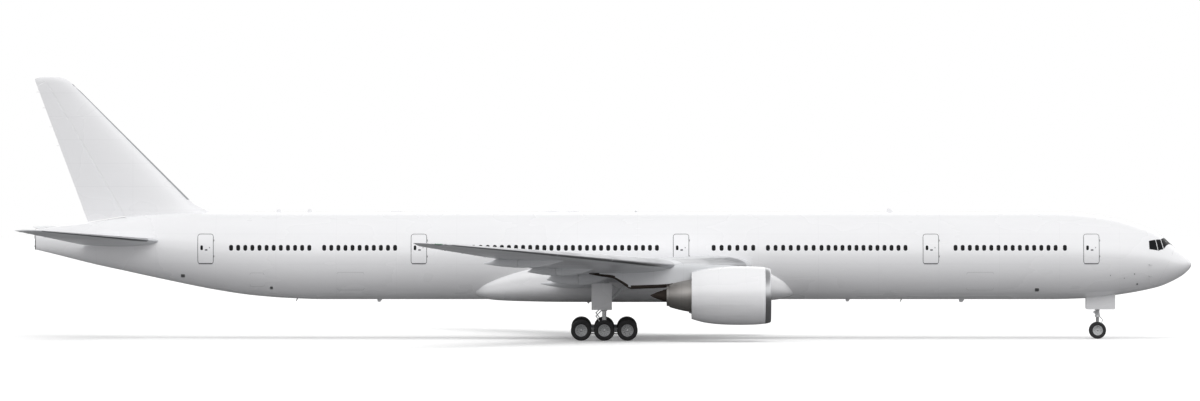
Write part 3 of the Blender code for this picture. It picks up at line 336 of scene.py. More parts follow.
bodyValues = {
    "stations": (
        (-18.08, 3.453, 2.821, 0.085), (-17.62, 3.513, 2.710, 0.215), (-16.10, 3.722, 2.331, 0.590),
        (-15.35, 3.842, 2.170, 0.735), (-14.21, 3.955, 1.920, 0.925), (-12.20, 4.006, 1.518, 1.205),
        (-11.17, 4.006, 1.372, 1.300), (-10.10, 4.006, 1.288, 1.352), (-9.00, 4.006, 1.250, 1.378),
        (14.10, 4.006, 1.250, 1.378), (14.94, 3.958, 1.272, 1.370), (15.57, 3.885, 1.318, 1.340),
        (16.21, 3.765, 1.402, 1.275), (16.84, 3.568, 1.508, 1.165), (17.47, 3.305, 1.657, 0.985),
        (17.79, 3.022, 1.788, 0.850), (18.10, 2.768, 1.951, 0.655), (18.26, 2.632, 2.062, 0.500),
        (18.39, 2.490, 2.190, 0.310), (18.44, 2.420, 2.256, 0.185), (18.455, 2.380, 2.296, 0.100),
    ),
    "tipX": 18.4595,
    "tipZ": 2.338,
    "longestStep": 0.42,
    "upperRows": 20,
    "lowerRows": 22,
    "wellRows": 3,
    "seamLow": (17.28, 1.55),
    "seamHigh": (17.96, 2.96),
    "wellX": (15.12, 16.06),
    "wellHalfWidth": 0.250,
    "wellTop": 1.800,
    "seamGap": 0.002,
}
sides = ((1, "left"), (-1, "right"))
windowValues = {
    # first X, number and pitch of each run of cabin windows
    "runs": (
        (-11.861, 12, 0.2244), (-8.923, 11, 0.2233),
        (-5.109, 17, 0.2230), (-1.308, 8, 0.2220), (0.465, 6, 0.2189),
        (3.347, 6, 0.2494), (5.057, 7, 0.2400), (6.745, 13, 0.2205), (10.968, 15, 0.2252), (14.413, 1, 0.2),
    ),
    "height": 2.890,
    "cell": (0.152, 0.212),
    "hole": (0.124, 0.184),
    "corner": 0.052,
    "depth": 0.013,
    "paneDepth": 0.009,
    "paneThickness": 0.003,
}


def slopeTable(rows):
    # slopes of a smooth curve through the rows that never swings past them
    slopes = []
    for column in range(1, len(rows[0])):
        rises = [(far[column] - near[column]) / (far[0] - near[0]) for near, far in zip(rows, rows[1:])]
        made = [rises[0]]
        for first, second in zip(rises, rises[1:]):
            made.append(0.0 if first * second <= 0 else 2 * first * second / (first + second))
        made.append(rises[-1])
        slopes.append(made)
    return slopes


bodySlopes = slopeTable(bodyValues["stations"])


def smoothRow(rows, slopes, key):
    key = min(rows[-1][0], max(rows[0][0], key))
    place = max(i for i in range(len(rows) - 1) if rows[i][0] <= key)
    low, high = rows[place], rows[place + 1]
    span = high[0] - low[0]
    t = (key - low[0]) / span
    made = []
    for column in range(1, len(low)):
        m0, m1 = slopes[column - 1][place] * span, slopes[column - 1][place + 1] * span
        a = (2 * t**3 - 3 * t**2 + 1) * low[column] + (t**3 - 2 * t**2 + t) * m0
        made.append(a + (3 * t**2 - 2 * t**3) * high[column] + (t**3 - t**2) * m1)
    return made


def bodyShape(x):
    top, bottom, halfWidth = smoothRow(bodyValues["stations"], bodySlopes, x)
    return (top + bottom) / 2, (top - bottom) / 2, halfWidth


def bodyPoint(x, turn, lift=0.0):
    # a point of the body's skin, or this far outside it; turn runs from the crown over the left side
    middle, rise, halfWidth = bodyShape(x)
    point = Vector((x, halfWidth * math.sin(turn), middle + rise * math.cos(turn)))
    if lift:
        point += bodyNormal(x, turn) * lift
    return point


def bodyNormal(x, turn):
    step = 0.01
    along = bodyPoint(x + step, turn) - bodyPoint(x - step, turn)
    across = bodyPoint(x, turn + step) - bodyPoint(x, turn - step)
    return along.cross(across).normalized()


def turnAt(x, z, side=1):
    middle, rise, _ = bodyShape(x)
    return turnedBy(math.acos(min(1.0, max(-1.0, (z - middle) / rise))), side)


def rowTurns(x):
    # the rows round one ring: the window band keeps its height along the cabin
    held = min(14.9, max(-12.4, x))
    half = windowValues["cell"][1] / 2
    high = turnAt(held, windowValues["height"] + half)
    low = turnAt(held, windowValues["height"] - half)
    well = math.pi - math.asin(bodyValues["wellHalfWidth"] / bodyShape(15.6)[2])
    turns = [high * i / bodyValues["upperRows"] for i in range(bodyValues["upperRows"])] + [high]
    turns += [low + (well - low) * i / bodyValues["lowerRows"] for i in range(bodyValues["lowerRows"])]
    turns += [well + (math.pi - well) * i / bodyValues["wellRows"] for i in range(bodyValues["wellRows"] + 1)]
    return turns + [2 * math.pi - turn for turn in reversed(turns[1:-1])]


def windowCentres():
    return [first + pitch * i for first, count, pitch in windowValues["runs"] for i in range(count)]


def bodyColumns():
    half = windowValues["cell"][0] / 2
    marks = set(bodyValues["wellX"]) | {row[0] for row in bodyValues["stations"]}
    cells = {}
    for centre in windowCentres():
        cells[round(centre - half, 5)] = centre
        marks |= {round(centre - half, 5), round(centre + half, 5)}
    tight = [x for x in sorted(marks) if not any(left < x < left + 2 * half - 1e-4 for left in cells)]
    columns = [tight[0]]
    for x in tight[1:]:
        step = bodyValues["longestStep"] if x < 14.5 else 0.11
        parts = 1 if round(columns[-1], 5) in cells else max(1, math.ceil((x - columns[-1]) / step))
        start = columns[-1]
        columns += [start + (x - start) * (i + 1) / parts for i in range(parts)]
    return columns, cells


def roundedCorners(width, height, corner, steps=4):
    # a rounded oblong about the origin, anticlockwise from its right side
    points = []
    for signX, signY, start in ((1, 1, 0), (-1, 1, 90), (-1, -1, 180), (1, -1, 270)):
        middleX, middleY = signX * (width / 2 - corner), signY * (height / 2 - corner)
        for i in range(steps + 1):
            turn = math.radians(start + 90 * i / steps)
            points.append((middleX + corner * math.cos(turn), middleY + corner * math.sin(turn)))
    return points


def cutWindow(bm, corners, centre, side):
    # one window opening inside a cell of the skin, sunk to its pane; corners run as the outline does
    width, height = windowValues["hole"]
    outline = roundedCorners(width, height, windowValues["corner"])
    rim, base = [], []
    for a, b in outline:
        x, z = centre + a, windowValues["height"] + b
        turn = turnAt(x, z, side)
        rim.append(bm.verts.new(bodyPoint(x, turn)))
        base.append(bm.verts.new(bodyPoint(x, turn, -windowValues["depth"])))
    quarter = len(outline) // 4
    count = len(outline)
    for k in range(4):
        arc = [rim[(k * quarter + i) % count] for i in range(quarter)]
        following = rim[((k + 1) * quarter) % count]
        bm.faces.new([corners[k]] + arc[::-1])
        bm.faces.new([corners[k], arc[-1], following, corners[(k + 1) % 4]])
    for i in range(count):
        j = (i + 1) % count
        bm.faces.new((rim[i], rim[j], base[j], base[i]))
    bm.faces.new(base)


def buildBodySkin():
    columns, cells = bodyColumns()
    bm = bmesh.new()
    rings = [[bm.verts.new(bodyPoint(x, turn)) for turn in rowTurns(x)] for x in columns]
    count = len(rings[0])
    band = bodyValues["upperRows"]
    otherBand = count - band - 1
    for index in range(len(columns) - 1):
        first, second = rings[index], rings[index + 1]
        centre = cells.get(round(columns[index], 5))
        for i in range(count):
            j = (i + 1) % count
            if centre is not None and i == band:
                cutWindow(bm, (second[i], first[i], first[j], second[j]), centre, 1)
            elif centre is not None and i == otherBand:
                cutWindow(bm, (second[j], first[j], first[i], second[i]), centre, -1)
            else:
                bm.faces.new((first[i], second[i], second[j], first[j]))
    tip = bm.verts.new((bodyValues["tipX"], 0.0, bodyValues["tipZ"]))
    for i in range(count):
        bm.faces.new((rings[-1][i], tip, rings[-1][(i + 1) % count]))
    bm.faces.new(rings[0])
    bmesh.ops.recalc_face_normals(bm, faces=bm.faces)
    return bm


def sinkWell(bm):
    low, high = bodyValues["wellX"]
    wide = bodyValues["wellHalfWidth"] + 0.02
    floor = []
    for face in bm.faces:
        middle = face.calc_center_median()
        if low < middle.x < high and abs(middle.y) < wide and middle.z < 1.5:
            floor.append(face)
    raised = bmesh.ops.extrude_face_region(bm, geom=floor)["geom"]
    for item in raised:
        if isinstance(item, bmesh.types.BMVert):
            item.co.z = bodyValues["wellTop"]
    bmesh.ops.delete(bm, geom=floor, context="FACES")


def halfOf(source, point, normal):
    bm = source.copy()
    geometry = bm.verts[:] + bm.edges[:] + bm.faces[:]
    bmesh.ops.bisect_plane(bm, geom=geometry, plane_co=point, plane_no=normal, clear_inner=True)
    rim = [edge for edge in bm.edges if edge.is_boundary]
    bmesh.ops.edgeloop_fill(bm, edges=rim)
    return bm


def addPlate(bm, x, z, width, height, side, lift, corner=0.4, thickness=0.004, rows=8, columns=6):
    # a rounded plate about a place on the body's side
    half = height / 2
    addRoundedPatch(bm, x, z - half, z + half, width, corner, side, lift, thickness, rows, columns)


def facingTurn(tree):
    # turns a shape the way its point faces
    facing = putNode(tree, "GeometryNodeInputNamedAttribute", {"Name": "facing"}, data_type="FLOAT_VECTOR")
    return putNode(tree, "FunctionNodeAlignRotationToVector", {"Vector": facing.outputs["Attribute"]},
                   axis="Z").outputs[0]


def endTree(tree, given, points, shape, rotation):
    # the end of a tree: the shape on every point, made real and coated
    feeds = {"Points": points, "Instance": shape, "Rotation": rotation}
    placed = putNode(tree, "GeometryNodeInstanceOnPoints", feeds)
    real = putNode(tree, "GeometryNodeRealizeInstances", {0: placed.outputs[0]})
    feeds = {"Geometry": real.outputs[0], "Material": given["Material"]}
    coated = putNode(tree, "GeometryNodeSetMaterial", feeds)
    tree.links.new(coated.outputs[0], tree.nodes.new("NodeGroupOutput").inputs[0])
    return tree


def growTree(name, inputs):
    # the start of a tree: its geometry, sizes and material
    tree = bpy.data.node_groups.new(name, "GeometryNodeTree")
    for label, kind, value in (("Geometry", "Geometry", None), *inputs, ("Material", "Material", None)):
        socket = tree.interface.new_socket(label, in_out="INPUT", socket_type="NodeSocket" + kind)
        if value is not None:
            socket.default_value = value
    tree.interface.new_socket("Geometry", in_out="OUTPUT", socket_type="NodeSocketGeometry")
    return tree, tree.nodes.new("NodeGroupInput").outputs


def makeBody():
    whole = buildBodySkin()
    sinkWell(whole)
    (lowX, lowZ), (highX, highZ) = bodyValues["seamLow"], bodyValues["seamHigh"]
    forward = Vector((highZ - lowZ, 0.0, lowX - highX)).normalized()
    seam = Vector((lowX, 0.0, lowZ))
    for name, start, way, node in (("body_skin", seam, -forward, "fuselage"),
                                   ("nose_cone", seam + forward * bodyValues["seamGap"], forward, "radome")):
        makePiece(name, halfOf(whole, start, way), "whitePaint", "airframe", (node,), 40)
    whole.free()


# Cabin panes: one tree sets a rounded pane on every point it is given

def paneTree():
    sizes = (("Width", 0.13), ("Height", 0.19), ("Corner", 0.05), ("Thickness", 0.003))
    tree, given = growTree("panesOnPoints", [(label, "Float", value) for label, value in sizes])
    feeds = {"Width": given["Width"], "Height": given["Height"]}
    outline = putNode(tree, "GeometryNodeCurvePrimitiveQuadrilateral", feeds)
    rounded = putNode(tree, "GeometryNodeFilletCurve",
                      {"Curve": outline.outputs[0], "Radius": given["Corner"], "Count": 4}, mode="POLY")
    filled = putNode(tree, "GeometryNodeFillCurve", {0: rounded.outputs[0]}, mode="NGONS").outputs[0]
    raised = putNode(tree, "GeometryNodeExtrudeMesh", {"Mesh": filled, "Offset Scale": given["Thickness"]})
    back = putNode(tree, "GeometryNodeFlipFaces", {"Mesh": filled})
    both = putNode(tree, "GeometryNodeJoinGeometry", {0: [raised.outputs["Mesh"], back.outputs[0]]})
    closed = putNode(tree, "GeometryNodeMergeByDistance", {"Geometry": both.outputs[0], "Distance": 1e-5})
    return endTree(tree, given, given["Geometry"], closed.outputs[0], facingTurn(tree))


def growPiece(name, points, facings, tree, values, body, stands=(), angle=40):
    # runs a tree on points, each with the way it faces
    mesh = bpy.data.meshes.new(name)
    mesh.from_pydata([tuple(p) for p in points], [], [])
    attribute = mesh.attributes.new("facing", "FLOAT_VECTOR", "POINT")
    attribute.data.foreach_set("vector", [c for facing in facings for c in facing])
    return growMesh(name, mesh, tree, values, body, stands, angle)


def growMesh(name, mesh, tree, values, body, stands=(), angle=40):
    # runs a tree on a mesh and keeps the result as a plain mesh
    obj = bpy.data.objects.new(name, mesh)
    bpy.context.scene.collection.objects.link(obj)
    modifier = obj.modifiers.new("grow", "NODES")
    modifier.node_group = tree
    for item in tree.interface.items_tree:
        if item.in_out == "INPUT" and item.name in values:
            modifier[item.identifier] = values[item.name]
    bpy.context.view_layer.update()
    grown = bpy.data.meshes.new_from_object(obj.evaluated_get(bpy.context.evaluated_depsgraph_get()))
    obj.modifiers.clear()
    obj.data = grown
    smoothFaces(grown, angle)
    return settle(obj, body, stands)


def makeCabinPanes():
    points, facings = [], []
    for side in (1, -1):
        for x in windowCentres():
            turn = turnAt(x, windowValues["height"], side)
            points.append(bodyPoint(x, turn, -windowValues["paneDepth"] - windowValues["paneThickness"]))
            facings.append(bodyNormal(x, turn))
    values = {
        "Width": windowValues["hole"][0] + 0.004,
        "Height": windowValues["hole"][1] + 0.004,
        "Corner": windowValues["corner"] + 0.002,
        "Thickness": windowValues["paneThickness"],
        "Material": finish["cabinGlass"],
    }
    growPiece("cabin_panes", points, facings, paneTree(), values, "airframe")


# Patches that lie on the body: panels, seals, plates and the cockpit glazing

def addPatch(bm, grid, thickness):
    # grid of (X, turn, lift); a closed panel of this thickness whose top is at the lift
    joinLayers(bm, [
        [[bm.verts.new(bodyPoint(x, turn, lift - drop)) for x, turn, lift in row] for row in grid]
        for drop in (0.0, thickness)
    ])


def addRoundedPatch(bm, centre, low, high, width, corner, side, lift, thickness, rows=14, columns=6):
    # a rounded oblong on the body's side
    grid = []
    for i in range(rows + 1):
        z = low + (high - low) * (0.5 - 0.5 * math.cos(math.pi * i / rows))
        near = min(z - low, high - z)
        inset = corner - math.sqrt(max(0.0, corner**2 - (corner - near) ** 2)) if near < corner else 0.0
        half = width / 2 - inset
        grid.append([(x, turnAt(x, z, side), lift) for x in steps(centre - half, centre + half, columns)])
    addPatch(bm, grid, thickness)


doorValues = {
    "stations": (15.25, 10.19, 2.32, -5.94, -12.67),
    "width": 0.51,
    "sill": 2.375,
    "top": 3.330,
    "corner": 0.088,
    "seal": 0.019,
    "lift": 0.0035,
    "windowOffset": -0.122,
    "windowSize": (0.082, 0.150),
    # handle, its flap and the hinges: X from the middle, Z, width, height, lift, then the plate's make
    "fittings": (
        (0.02, 2.8225, 0.085, 0.045, 0.0065, 0.018), (0.13, 2.895, 0.022, 0.040, 0.0065, 0.010, 0.004, 6, 4),
        (0.267, 2.62, 0.016, 0.06, 0.006, 0.005, 0.006, 6, 4),
        (0.267, 3.12, 0.016, 0.06, 0.006, 0.005, 0.006, 6, 4),
    ),
}


def makeDoors():
    width, corner, seal = doorValues["width"], doorValues["corner"], doorValues["seal"]
    low, high, lift = doorValues["sill"], doorValues["top"], doorValues["lift"]
    wide, tall = doorValues["windowSize"]
    for side, sideName in sides:
        for number, x in enumerate(doorValues["stations"], start=1):
            node = f"door_{sideName}_{number}"
            ring, panel, glass, dark = (bmesh.new() for _ in range(4))
            addRoundedPatch(ring, x, low, high, width, corner, side, 0.0015, 0.006)
            addRoundedPatch(panel, x, low + seal, high - seal, width - 2 * seal, corner - seal, side, lift,
                            0.006, 18, 8)
            place = (x + doorValues["windowOffset"], windowValues["height"])
            addPlate(glass, *place, wide, tall, side, lift + 0.0015, 0.036, 0.003, 12)
            addPlate(dark, x, low + 0.018, width - 0.08, 0.032, side, 0.007, 0.004, 0.008, 4, 8)
            for off, z, across, tallness, rise, *make in doorValues["fittings"]:
                addPlate(dark, x + off, z, across, tallness, side, rise, *make)
            makePiece(node + "_panel", panel, "whitePaint", "airframe", (node,))
            makePiece(node + "_seal", ring, "sealRubber", "airframe")
            makePiece(node + "_window", glass, "cabinGlass", "airframe")
            makePiece(node + "_fittings", dark, "sealRubber", "airframe")


cockpitValues = {
    # each pane by its corners (X, Z): rear top, front top, front bottom, rear bottom; no Z is the middle line
    "panes": (
        ((17.081, 3.100), (17.288, 3.134), (17.360, 2.800), (17.092, 2.843)),
        ((17.306, 3.136), (17.455, 3.140), (17.534, 2.838), (17.378, 2.792)),
        ((17.474, 3.142), (17.668, None), (17.885, None), (17.556, 2.846)),
    ),
    "postTurn": 0.060,
    "steps": 10,
    # how far a pane and its frame reach past the corners, their lift and their thickness
    "frame": (0.012, 0.002, 0.004),
    "glass": (0.0, 0.004, 0.006),
}


def paneGrid(corners, side, reach, lift):
    # points spread evenly between four corners
    shares = steps(-reach * 3, 1 + reach * 3, cockpitValues["steps"])
    grid = []
    for t in shares:
        row = []
        for s in shares:
            x, turn = (
                (1 - t) * ((1 - s) * corners[0][k] + s * corners[1][k])
                + t * ((1 - s) * corners[3][k] + s * corners[2][k])
                for k in (0, 1)
            )
            row.append((x, turnedBy(turn, side), lift))
        grid.append(row)
    return grid


def makeCockpit():
    glass, frames = bmesh.new(), bmesh.new()
    for side, _ in sides:
        for pane in cockpitValues["panes"]:
            corners = [(x, cockpitValues["postTurn"] if z is None else turnAt(x, z)) for x, z in pane]
            for target, key in ((frames, "frame"), (glass, "glass")):
                reach, lift, thickness = cockpitValues[key]
                addPatch(target, paneGrid(corners, side, reach, lift), thickness)
    makePiece("cockpit_panes", glass, "cockpitGlass", "airframe", ("windscreen",))
    makePiece("cockpit_frames", frames, "whitePaint", "airframe")


makeBody()
makeCabinPanes()
makeDoors()
makeCockpit()
print("body, cabin windows, doors and cockpit made")


# Helpers for surfaces that are cut apart

def looseObject(name, bm):
    bmesh.ops.recalc_face_normals(bm, faces=bm.faces)
    return bareObject(name, bm)


def loftObject(name, rings):
    bm = bmesh.new()
    addLoft(bm, rings)
    return looseObject(name, bm)


def addLoft(bm, rings, closed=True):
    rows = [[bm.verts.new(point) for point in ring] for ring in rings]
    count = len(rows[0])
    for first, second in zip(rows, rows[1:]):
        for i in range(count):
            j = (i + 1) % count
            bm.faces.new((first[i], first[j], second[j], second[i]))
    if closed:
        bm.faces.new(rows[0])
        bm.faces.new(rows[-1])
    return rows


def triangulated(obj):
    bm = bmesh.new()
    bm.from_mesh(obj.data)
    bmesh.ops.triangulate(bm, faces=bm.faces)
    bm.to_mesh(obj.data)
    bm.free()


def combine(target, tool, operation, keepTool=False):
    triangulated(target)
    triangulated(tool)
    modifier = target.modifiers.new("combine", "BOOLEAN")
    modifier.operation = operation
    modifier.solver = "EXACT"
    modifier.object = tool
    bpy.context.view_layer.update()
    made = bpy.data.meshes.new_from_object(target.evaluated_get(bpy.context.evaluated_depsgraph_get()))
    target.modifiers.clear()
    target.data = made
    if not keepTool:
        bpy.data.objects.remove(tool, do_unlink=True)
    return target


def copyOf(obj, name):
    made = obj.copy()
    made.data = obj.data.copy()
    made.name = name
    bpy.context.scene.collection.objects.link(made)
    return made


def flatFacesMerged(mesh):
    bm = bmesh.new()
    bm.from_mesh(mesh)
    bmesh.ops.remove_doubles(bm, verts=bm.verts, dist=2e-5)
    bmesh.ops.dissolve_limit(bm, angle_limit=math.radians(0.05), verts=bm.verts, edges=bm.edges)
    bmesh.ops.recalc_face_normals(bm, faces=bm.faces)
    bm.to_mesh(mesh)
    bm.free()


def dressSurface(obj, name, material, body, stands, angle=32):
    flatFacesMerged(obj.data)
    obj.name = obj.data.name = name
    obj.data.materials.clear()
    obj.data.materials.append(finish[material])
    for polygon in obj.data.polygons:
        polygon.material_index = 0
    smoothFaces(obj.data, angle)
    return settle(obj, body, stands)


def dressPair(leftPiece, name, material, bodies, angle=32):
    # the right-hand piece is the mirror image of the left-hand one
    right = copyOf(leftPiece, name + "_right")
    right.data.transform(Matrix.Scale(-1, 4, Vector((0, 1, 0))))
    right.data.flip_normals()
    for piece, sideName in ((leftPiece, "left"), (right, "right")):
        node = f"{name}_{sideName}"
        body = bodies if isinstance(bodies, str) else bodies[sideName]
        dressSurface(piece, node + "_skin", material, body, (node,), angle)


def addShell(bm, grid, lift, thickness):
    # a closed thin panel on a grid of points, its outer face this far off them
    rows, columns = len(grid), len(grid[0])
    layers = [[], []]
    for i in range(rows):
        for line in layers:
            line.append([])
        for j in range(columns):
            down = grid[min(i + 1, rows - 1)][j] - grid[max(i - 1, 0)][j]
            across = grid[i][min(j + 1, columns - 1)] - grid[i][max(j - 1, 0)]
            normal = across.cross(down).normalized()
            for line, off in zip(layers, (lift, lift - thickness)):
                line[i].append(bm.verts.new(grid[i][j] + normal * off))
    joinLayers(bm, layers)


def addEdgeStrip(bm, section, span, counts, reach, lift, thickness, start=0.0):
    # a shell round a leading edge: rows along it, below it and above it, then how far back it goes
    # below and above
    grid = []
    for y in steps(*span, counts[0]):
        row = []
        for step in range(-counts[1], counts[2] + 1):
            side = (step > 0) - (step < 0)
            share = start + (step / counts[2 if step > 0 else 1]) ** 2 * reach[1 if step > 0 else 0]
            x, middle, half = section(y, share)
            row.append(Vector((x, y, middle + side * half)))
        grid.append(row)
    addShell(bm, grid, lift, thickness)


lampValues = {
    # span, rows and columns, how far back below and above, lift, thickness, share where it starts
    "tip": ((15.46, 15.72), (6, 5, 5), (0.16, 0.16), 0.0022, 0.005),
    "landing": ((1.66, 1.96), (6, 3, 5), (0.00576, 0.016), 0.0035, 0.004, 0.0004),
}


def bothSides(bm):
    # adds the mirror image across the middle plane
    geometry = bm.verts[:] + bm.edges[:] + bm.faces[:]
    made = bmesh.ops.duplicate(bm, geom=geometry)["geom"]
    fresh = [item for item in made if isinstance(item, bmesh.types.BMVert)]
    bmesh.ops.scale(bm, vec=(1, -1, 1), verts=fresh)
    return bm


# Wings: span Y, leading edge X and Z, trailing edge X and Z, thickness over chord

wingValues = {
    "stations": (
        (1.00, 4.790, 2.315, -1.480, 1.760, 0.130), (1.40, 4.520, 2.320, -1.520, 1.800, 0.130),
        (5.00, 2.103, 2.408, -1.900, 2.180, 0.112), (9.20, -0.720, 2.720, -3.465, 2.660, 0.102),
        (12.20, -2.736, 2.944, -4.582, 2.890, 0.098), (15.20, -4.752, 3.160, -5.700, 3.120, 0.095),
        (15.75, -5.250, 3.198, -5.790, 3.172, 0.090), (16.20, -5.790, 3.230, -5.870, 3.226, 0.080),
    ),
    "camber": 0.014,
    "thinnest": 0.003,
    "gap": 0.009,
    "steps": 9,
    "fractions": (
        0.002, 0.008, 0.018, 0.032, 0.05, 0.08, 0.12, 0.17, 0.23, 0.30,
        0.38, 0.47, 0.56, 0.65, 0.74, 0.83, 0.92, 1.0,
    ),
}
flapValues = {
    # inner and outer Y and X of each hinge line, and how far the wing's lower lip is cut back, in degrees
    "inboard_flap": (((1.72, -0.640), (4.50, -0.960)), 0.0),
    "flaperon": (((4.82, -1.050), (5.60, -1.330)), 24.0),
    "outboard_flap": (((5.86, -1.390), (11.30, -3.630)), 0.0),
    "aileron": (((11.42, -3.690), (14.85, -5.150)), 0.0),
}
trackValues = {
    # flap track fairings: span Y, nose X, tail X, lowest Z, half width
    "rows": (
        (2.45, 0.150, -2.100, 1.630, 0.085), (4.10, 0.150, -1.900, 1.755, 0.085),
        (6.35, -0.430, -2.480, 2.090, 0.080), (9.20, -1.350, -3.800, 2.380, 0.070),
    ),
    "shape": (
        (0.00, 0.04, 0.00), (0.04, 0.34, 0.12), (0.10, 0.58, 0.33), (0.18, 0.80, 0.62), (0.32, 0.95, 0.88),
        (0.50, 1.00, 1.00), (0.64, 0.90, 0.95), (0.78, 0.72, 0.82), (0.90, 0.42, 0.63), (1.00, 0.08, 0.45),
    ),
    "sides": 16,
}


def rowBetween(table, key):
    for first, second in zip(table, table[1:]):
        if key <= second[0]:
            share = (key - first[0]) / (second[0] - first[0])
            return [a + (b - a) * share for a, b in zip(first, second)]
    return list(table[-1])


def thicknessShare(fraction):
    terms = (0.2969, -0.1260, -0.3516, 0.2843, -0.1015)
    return 5 * sum(term * fraction**power for term, power in zip(terms, (0.5, 1, 2, 3, 4)))


def wingSection(y, fraction):
    _, frontX, frontZ, rearX, rearZ, ratio = rowBetween(wingValues["stations"], y)
    chord = frontX - rearX
    bow = wingValues["camber"] * chord * 4 * fraction * (1 - fraction)
    half = max(wingValues["thinnest"], ratio * chord * thicknessShare(fraction))
    return frontX - chord * fraction, frontZ + (rearZ - frontZ) * fraction + bow, half


def wingMiddle(x, y):
    _, frontX, _, rearX, _, _ = rowBetween(wingValues["stations"], y)
    return wingSection(y, min(1.0, max(0.0, (frontX - x) / (frontX - rearX))))[1:]


def foilRing(y, section):
    upper, lower = [], []
    for fraction in wingValues["fractions"]:
        x, middle, half = section(y, fraction)
        upper.append(Vector((x, y, middle + half)))
        lower.append(Vector((x, y, middle - half)))
    x, middle, _ = section(y, 0.0)
    return [Vector((x, y, middle))] + upper + lower[::-1]


def hingeEnds(line, middleOf):
    ends = []
    for y, x in line:
        middle, half = middleOf(x, y)
        ends.append((Vector((x, y, middle)), half * 0.97))
    return ends


def behindHinge(name, ends, grow, relief=0.0, upright=False):
    # everything behind a hinge line, with a round nose about the line itself
    (start, startRadius), (end, endRadius) = ends
    along = (end - start).normalized()
    aft = (Vector((-1, 0, 0)) + along * along.x).normalized()
    up = Vector((0, 1, 0)) if upright else aft.cross(along)
    if up.z < 0:
        up = -up
    rings = []
    first = start if upright else start - along * grow
    for centre, radius in ((first, startRadius), (end + along * grow, endRadius)):
        nose = radius + grow
        lean = math.asin(grow / nose)
        lowLean = max(lean, math.radians(relief))
        flat = [(2.4, 0.9), (-grow, 0.9)]
        for i in range(wingValues["steps"] + 1):
            turn = math.pi / 2 + lean + (math.pi - lean - lowLean) * i / wingValues["steps"]
            flat.append((nose * math.cos(turn), nose * math.sin(turn)))
        flat += [(-nose * math.sin(lowLean), -0.9), (2.4, -0.9)]
        rings.append([centre + aft * a + up * b for a, b in flat])
    return loftObject(name, rings)


def splitSurface(whole, name, ends, relief=0.0):
    moving = copyOf(whole, name)
    combine(moving, behindHinge("region", ends, 0.0), "INTERSECT")
    combine(whole, behindHinge("cove", ends, wingValues["gap"], relief), "DIFFERENCE")
    return moving


def trackFairing(row):
    y, noseX, tailX, lowZ, halfWidth = row
    rearX = rowBetween(wingValues["stations"], y)[3]
    middle, half = wingMiddle(noseX, y)
    noseZ = middle - half
    rings = []
    for share, width, depth in trackValues["shape"]:
        x = noseX + (tailX - noseX) * share
        low = noseZ + (lowZ - noseZ) * depth - 0.006
        middle, half = wingMiddle(max(x, rearX), y)
        past = max(0.0, (rearX - x) / (rearX - tailX))
        high = middle + (low + 0.03 - middle) * past
        centre, rise = (high + low) / 2, (high - low) / 2
        turns = fullTurn(trackValues["sides"])
        half = halfWidth * width
        rings.append([Vector((x, y + half * math.sin(t), centre + rise * math.cos(t))) for t in turns])
    return loftObject("track", rings)


def makeWings():
    wing = loftObject("wing", [foilRing(row[0], wingSection) for row in wingValues["stations"]])
    for row in trackValues["rows"]:
        combine(wing, trackFairing(row), "UNION")
    moving = {}
    for name, (line, relief) in flapValues.items():
        moving[name] = splitSurface(wing, name, hingeEnds(line, wingMiddle), relief)
    for name, piece in moving.items():
        dressPair(piece, name, "wingPaint", {"left": name + "_left", "right": name + "_right"})
    dressPair(wing, "wing", "wingPaint", "airframe")


slatValues = {
    # inner and outer Y of each leading edge slat, and how far back it reaches above and below
    "spans": ((1.62, 4.62), (5.03, 7.86), (7.89, 10.38), (10.41, 12.90), (12.93, 15.40)),
    "upper": 0.085,
    "lower": 0.030,
    "lift": 0.0022,
    "thickness": 0.006,
}
spoilerValues = {
    # inner and outer Y of each spoiler on the upper skin, and how deep it is ahead of the flap
    "spans": ((1.86, 3.00), (3.03, 4.20), (6.00, 7.00), (7.03, 8.05), (8.08, 9.12), (9.15, 10.20),
              (10.23, 11.22)),
    "depth": 0.34,
    "lift": 0.0025,
    "thickness": 0.005,
}


def makeSlats():
    bm = bmesh.new()
    reach = (slatValues["lower"], slatValues["upper"])
    for span in slatValues["spans"]:
        addEdgeStrip(bm, wingSection, span, (8, 7, 9), reach, slatValues["lift"], slatValues["thickness"])
    makePiece("slats", bothSides(bm), "slatMetal", "airframe", (), 40)


def makeSpoilers():
    bm = bmesh.new()
    lines = [flapValues[name][0] for name in ("inboard_flap", "outboard_flap")]
    for inner, outer in spoilerValues["spans"]:
        (y0, x0), (y1, x1) = lines[0] if outer < 5 else lines[1]
        grid = []
        for y in steps(inner, outer, 4):
            hinge = x0 + (x1 - x0) * (y - y0) / (y1 - y0)
            depth = spoilerValues["depth"] * (1 - 0.04 * y)
            columns = [hinge + 0.022 + depth * share for share in steps(1.0, 0.0, 6)]
            grid.append([Vector((x, y, sum(wingMiddle(x, y)))) for x in columns])
        addShell(bm, grid, spoilerValues["lift"], spoilerValues["thickness"])
    makePiece("spoilers", bothSides(bm), "wingPaint", "airframe", (), 40)


# Fin and rudder: Z, leading edge X, trailing edge X; tailplane as the wing

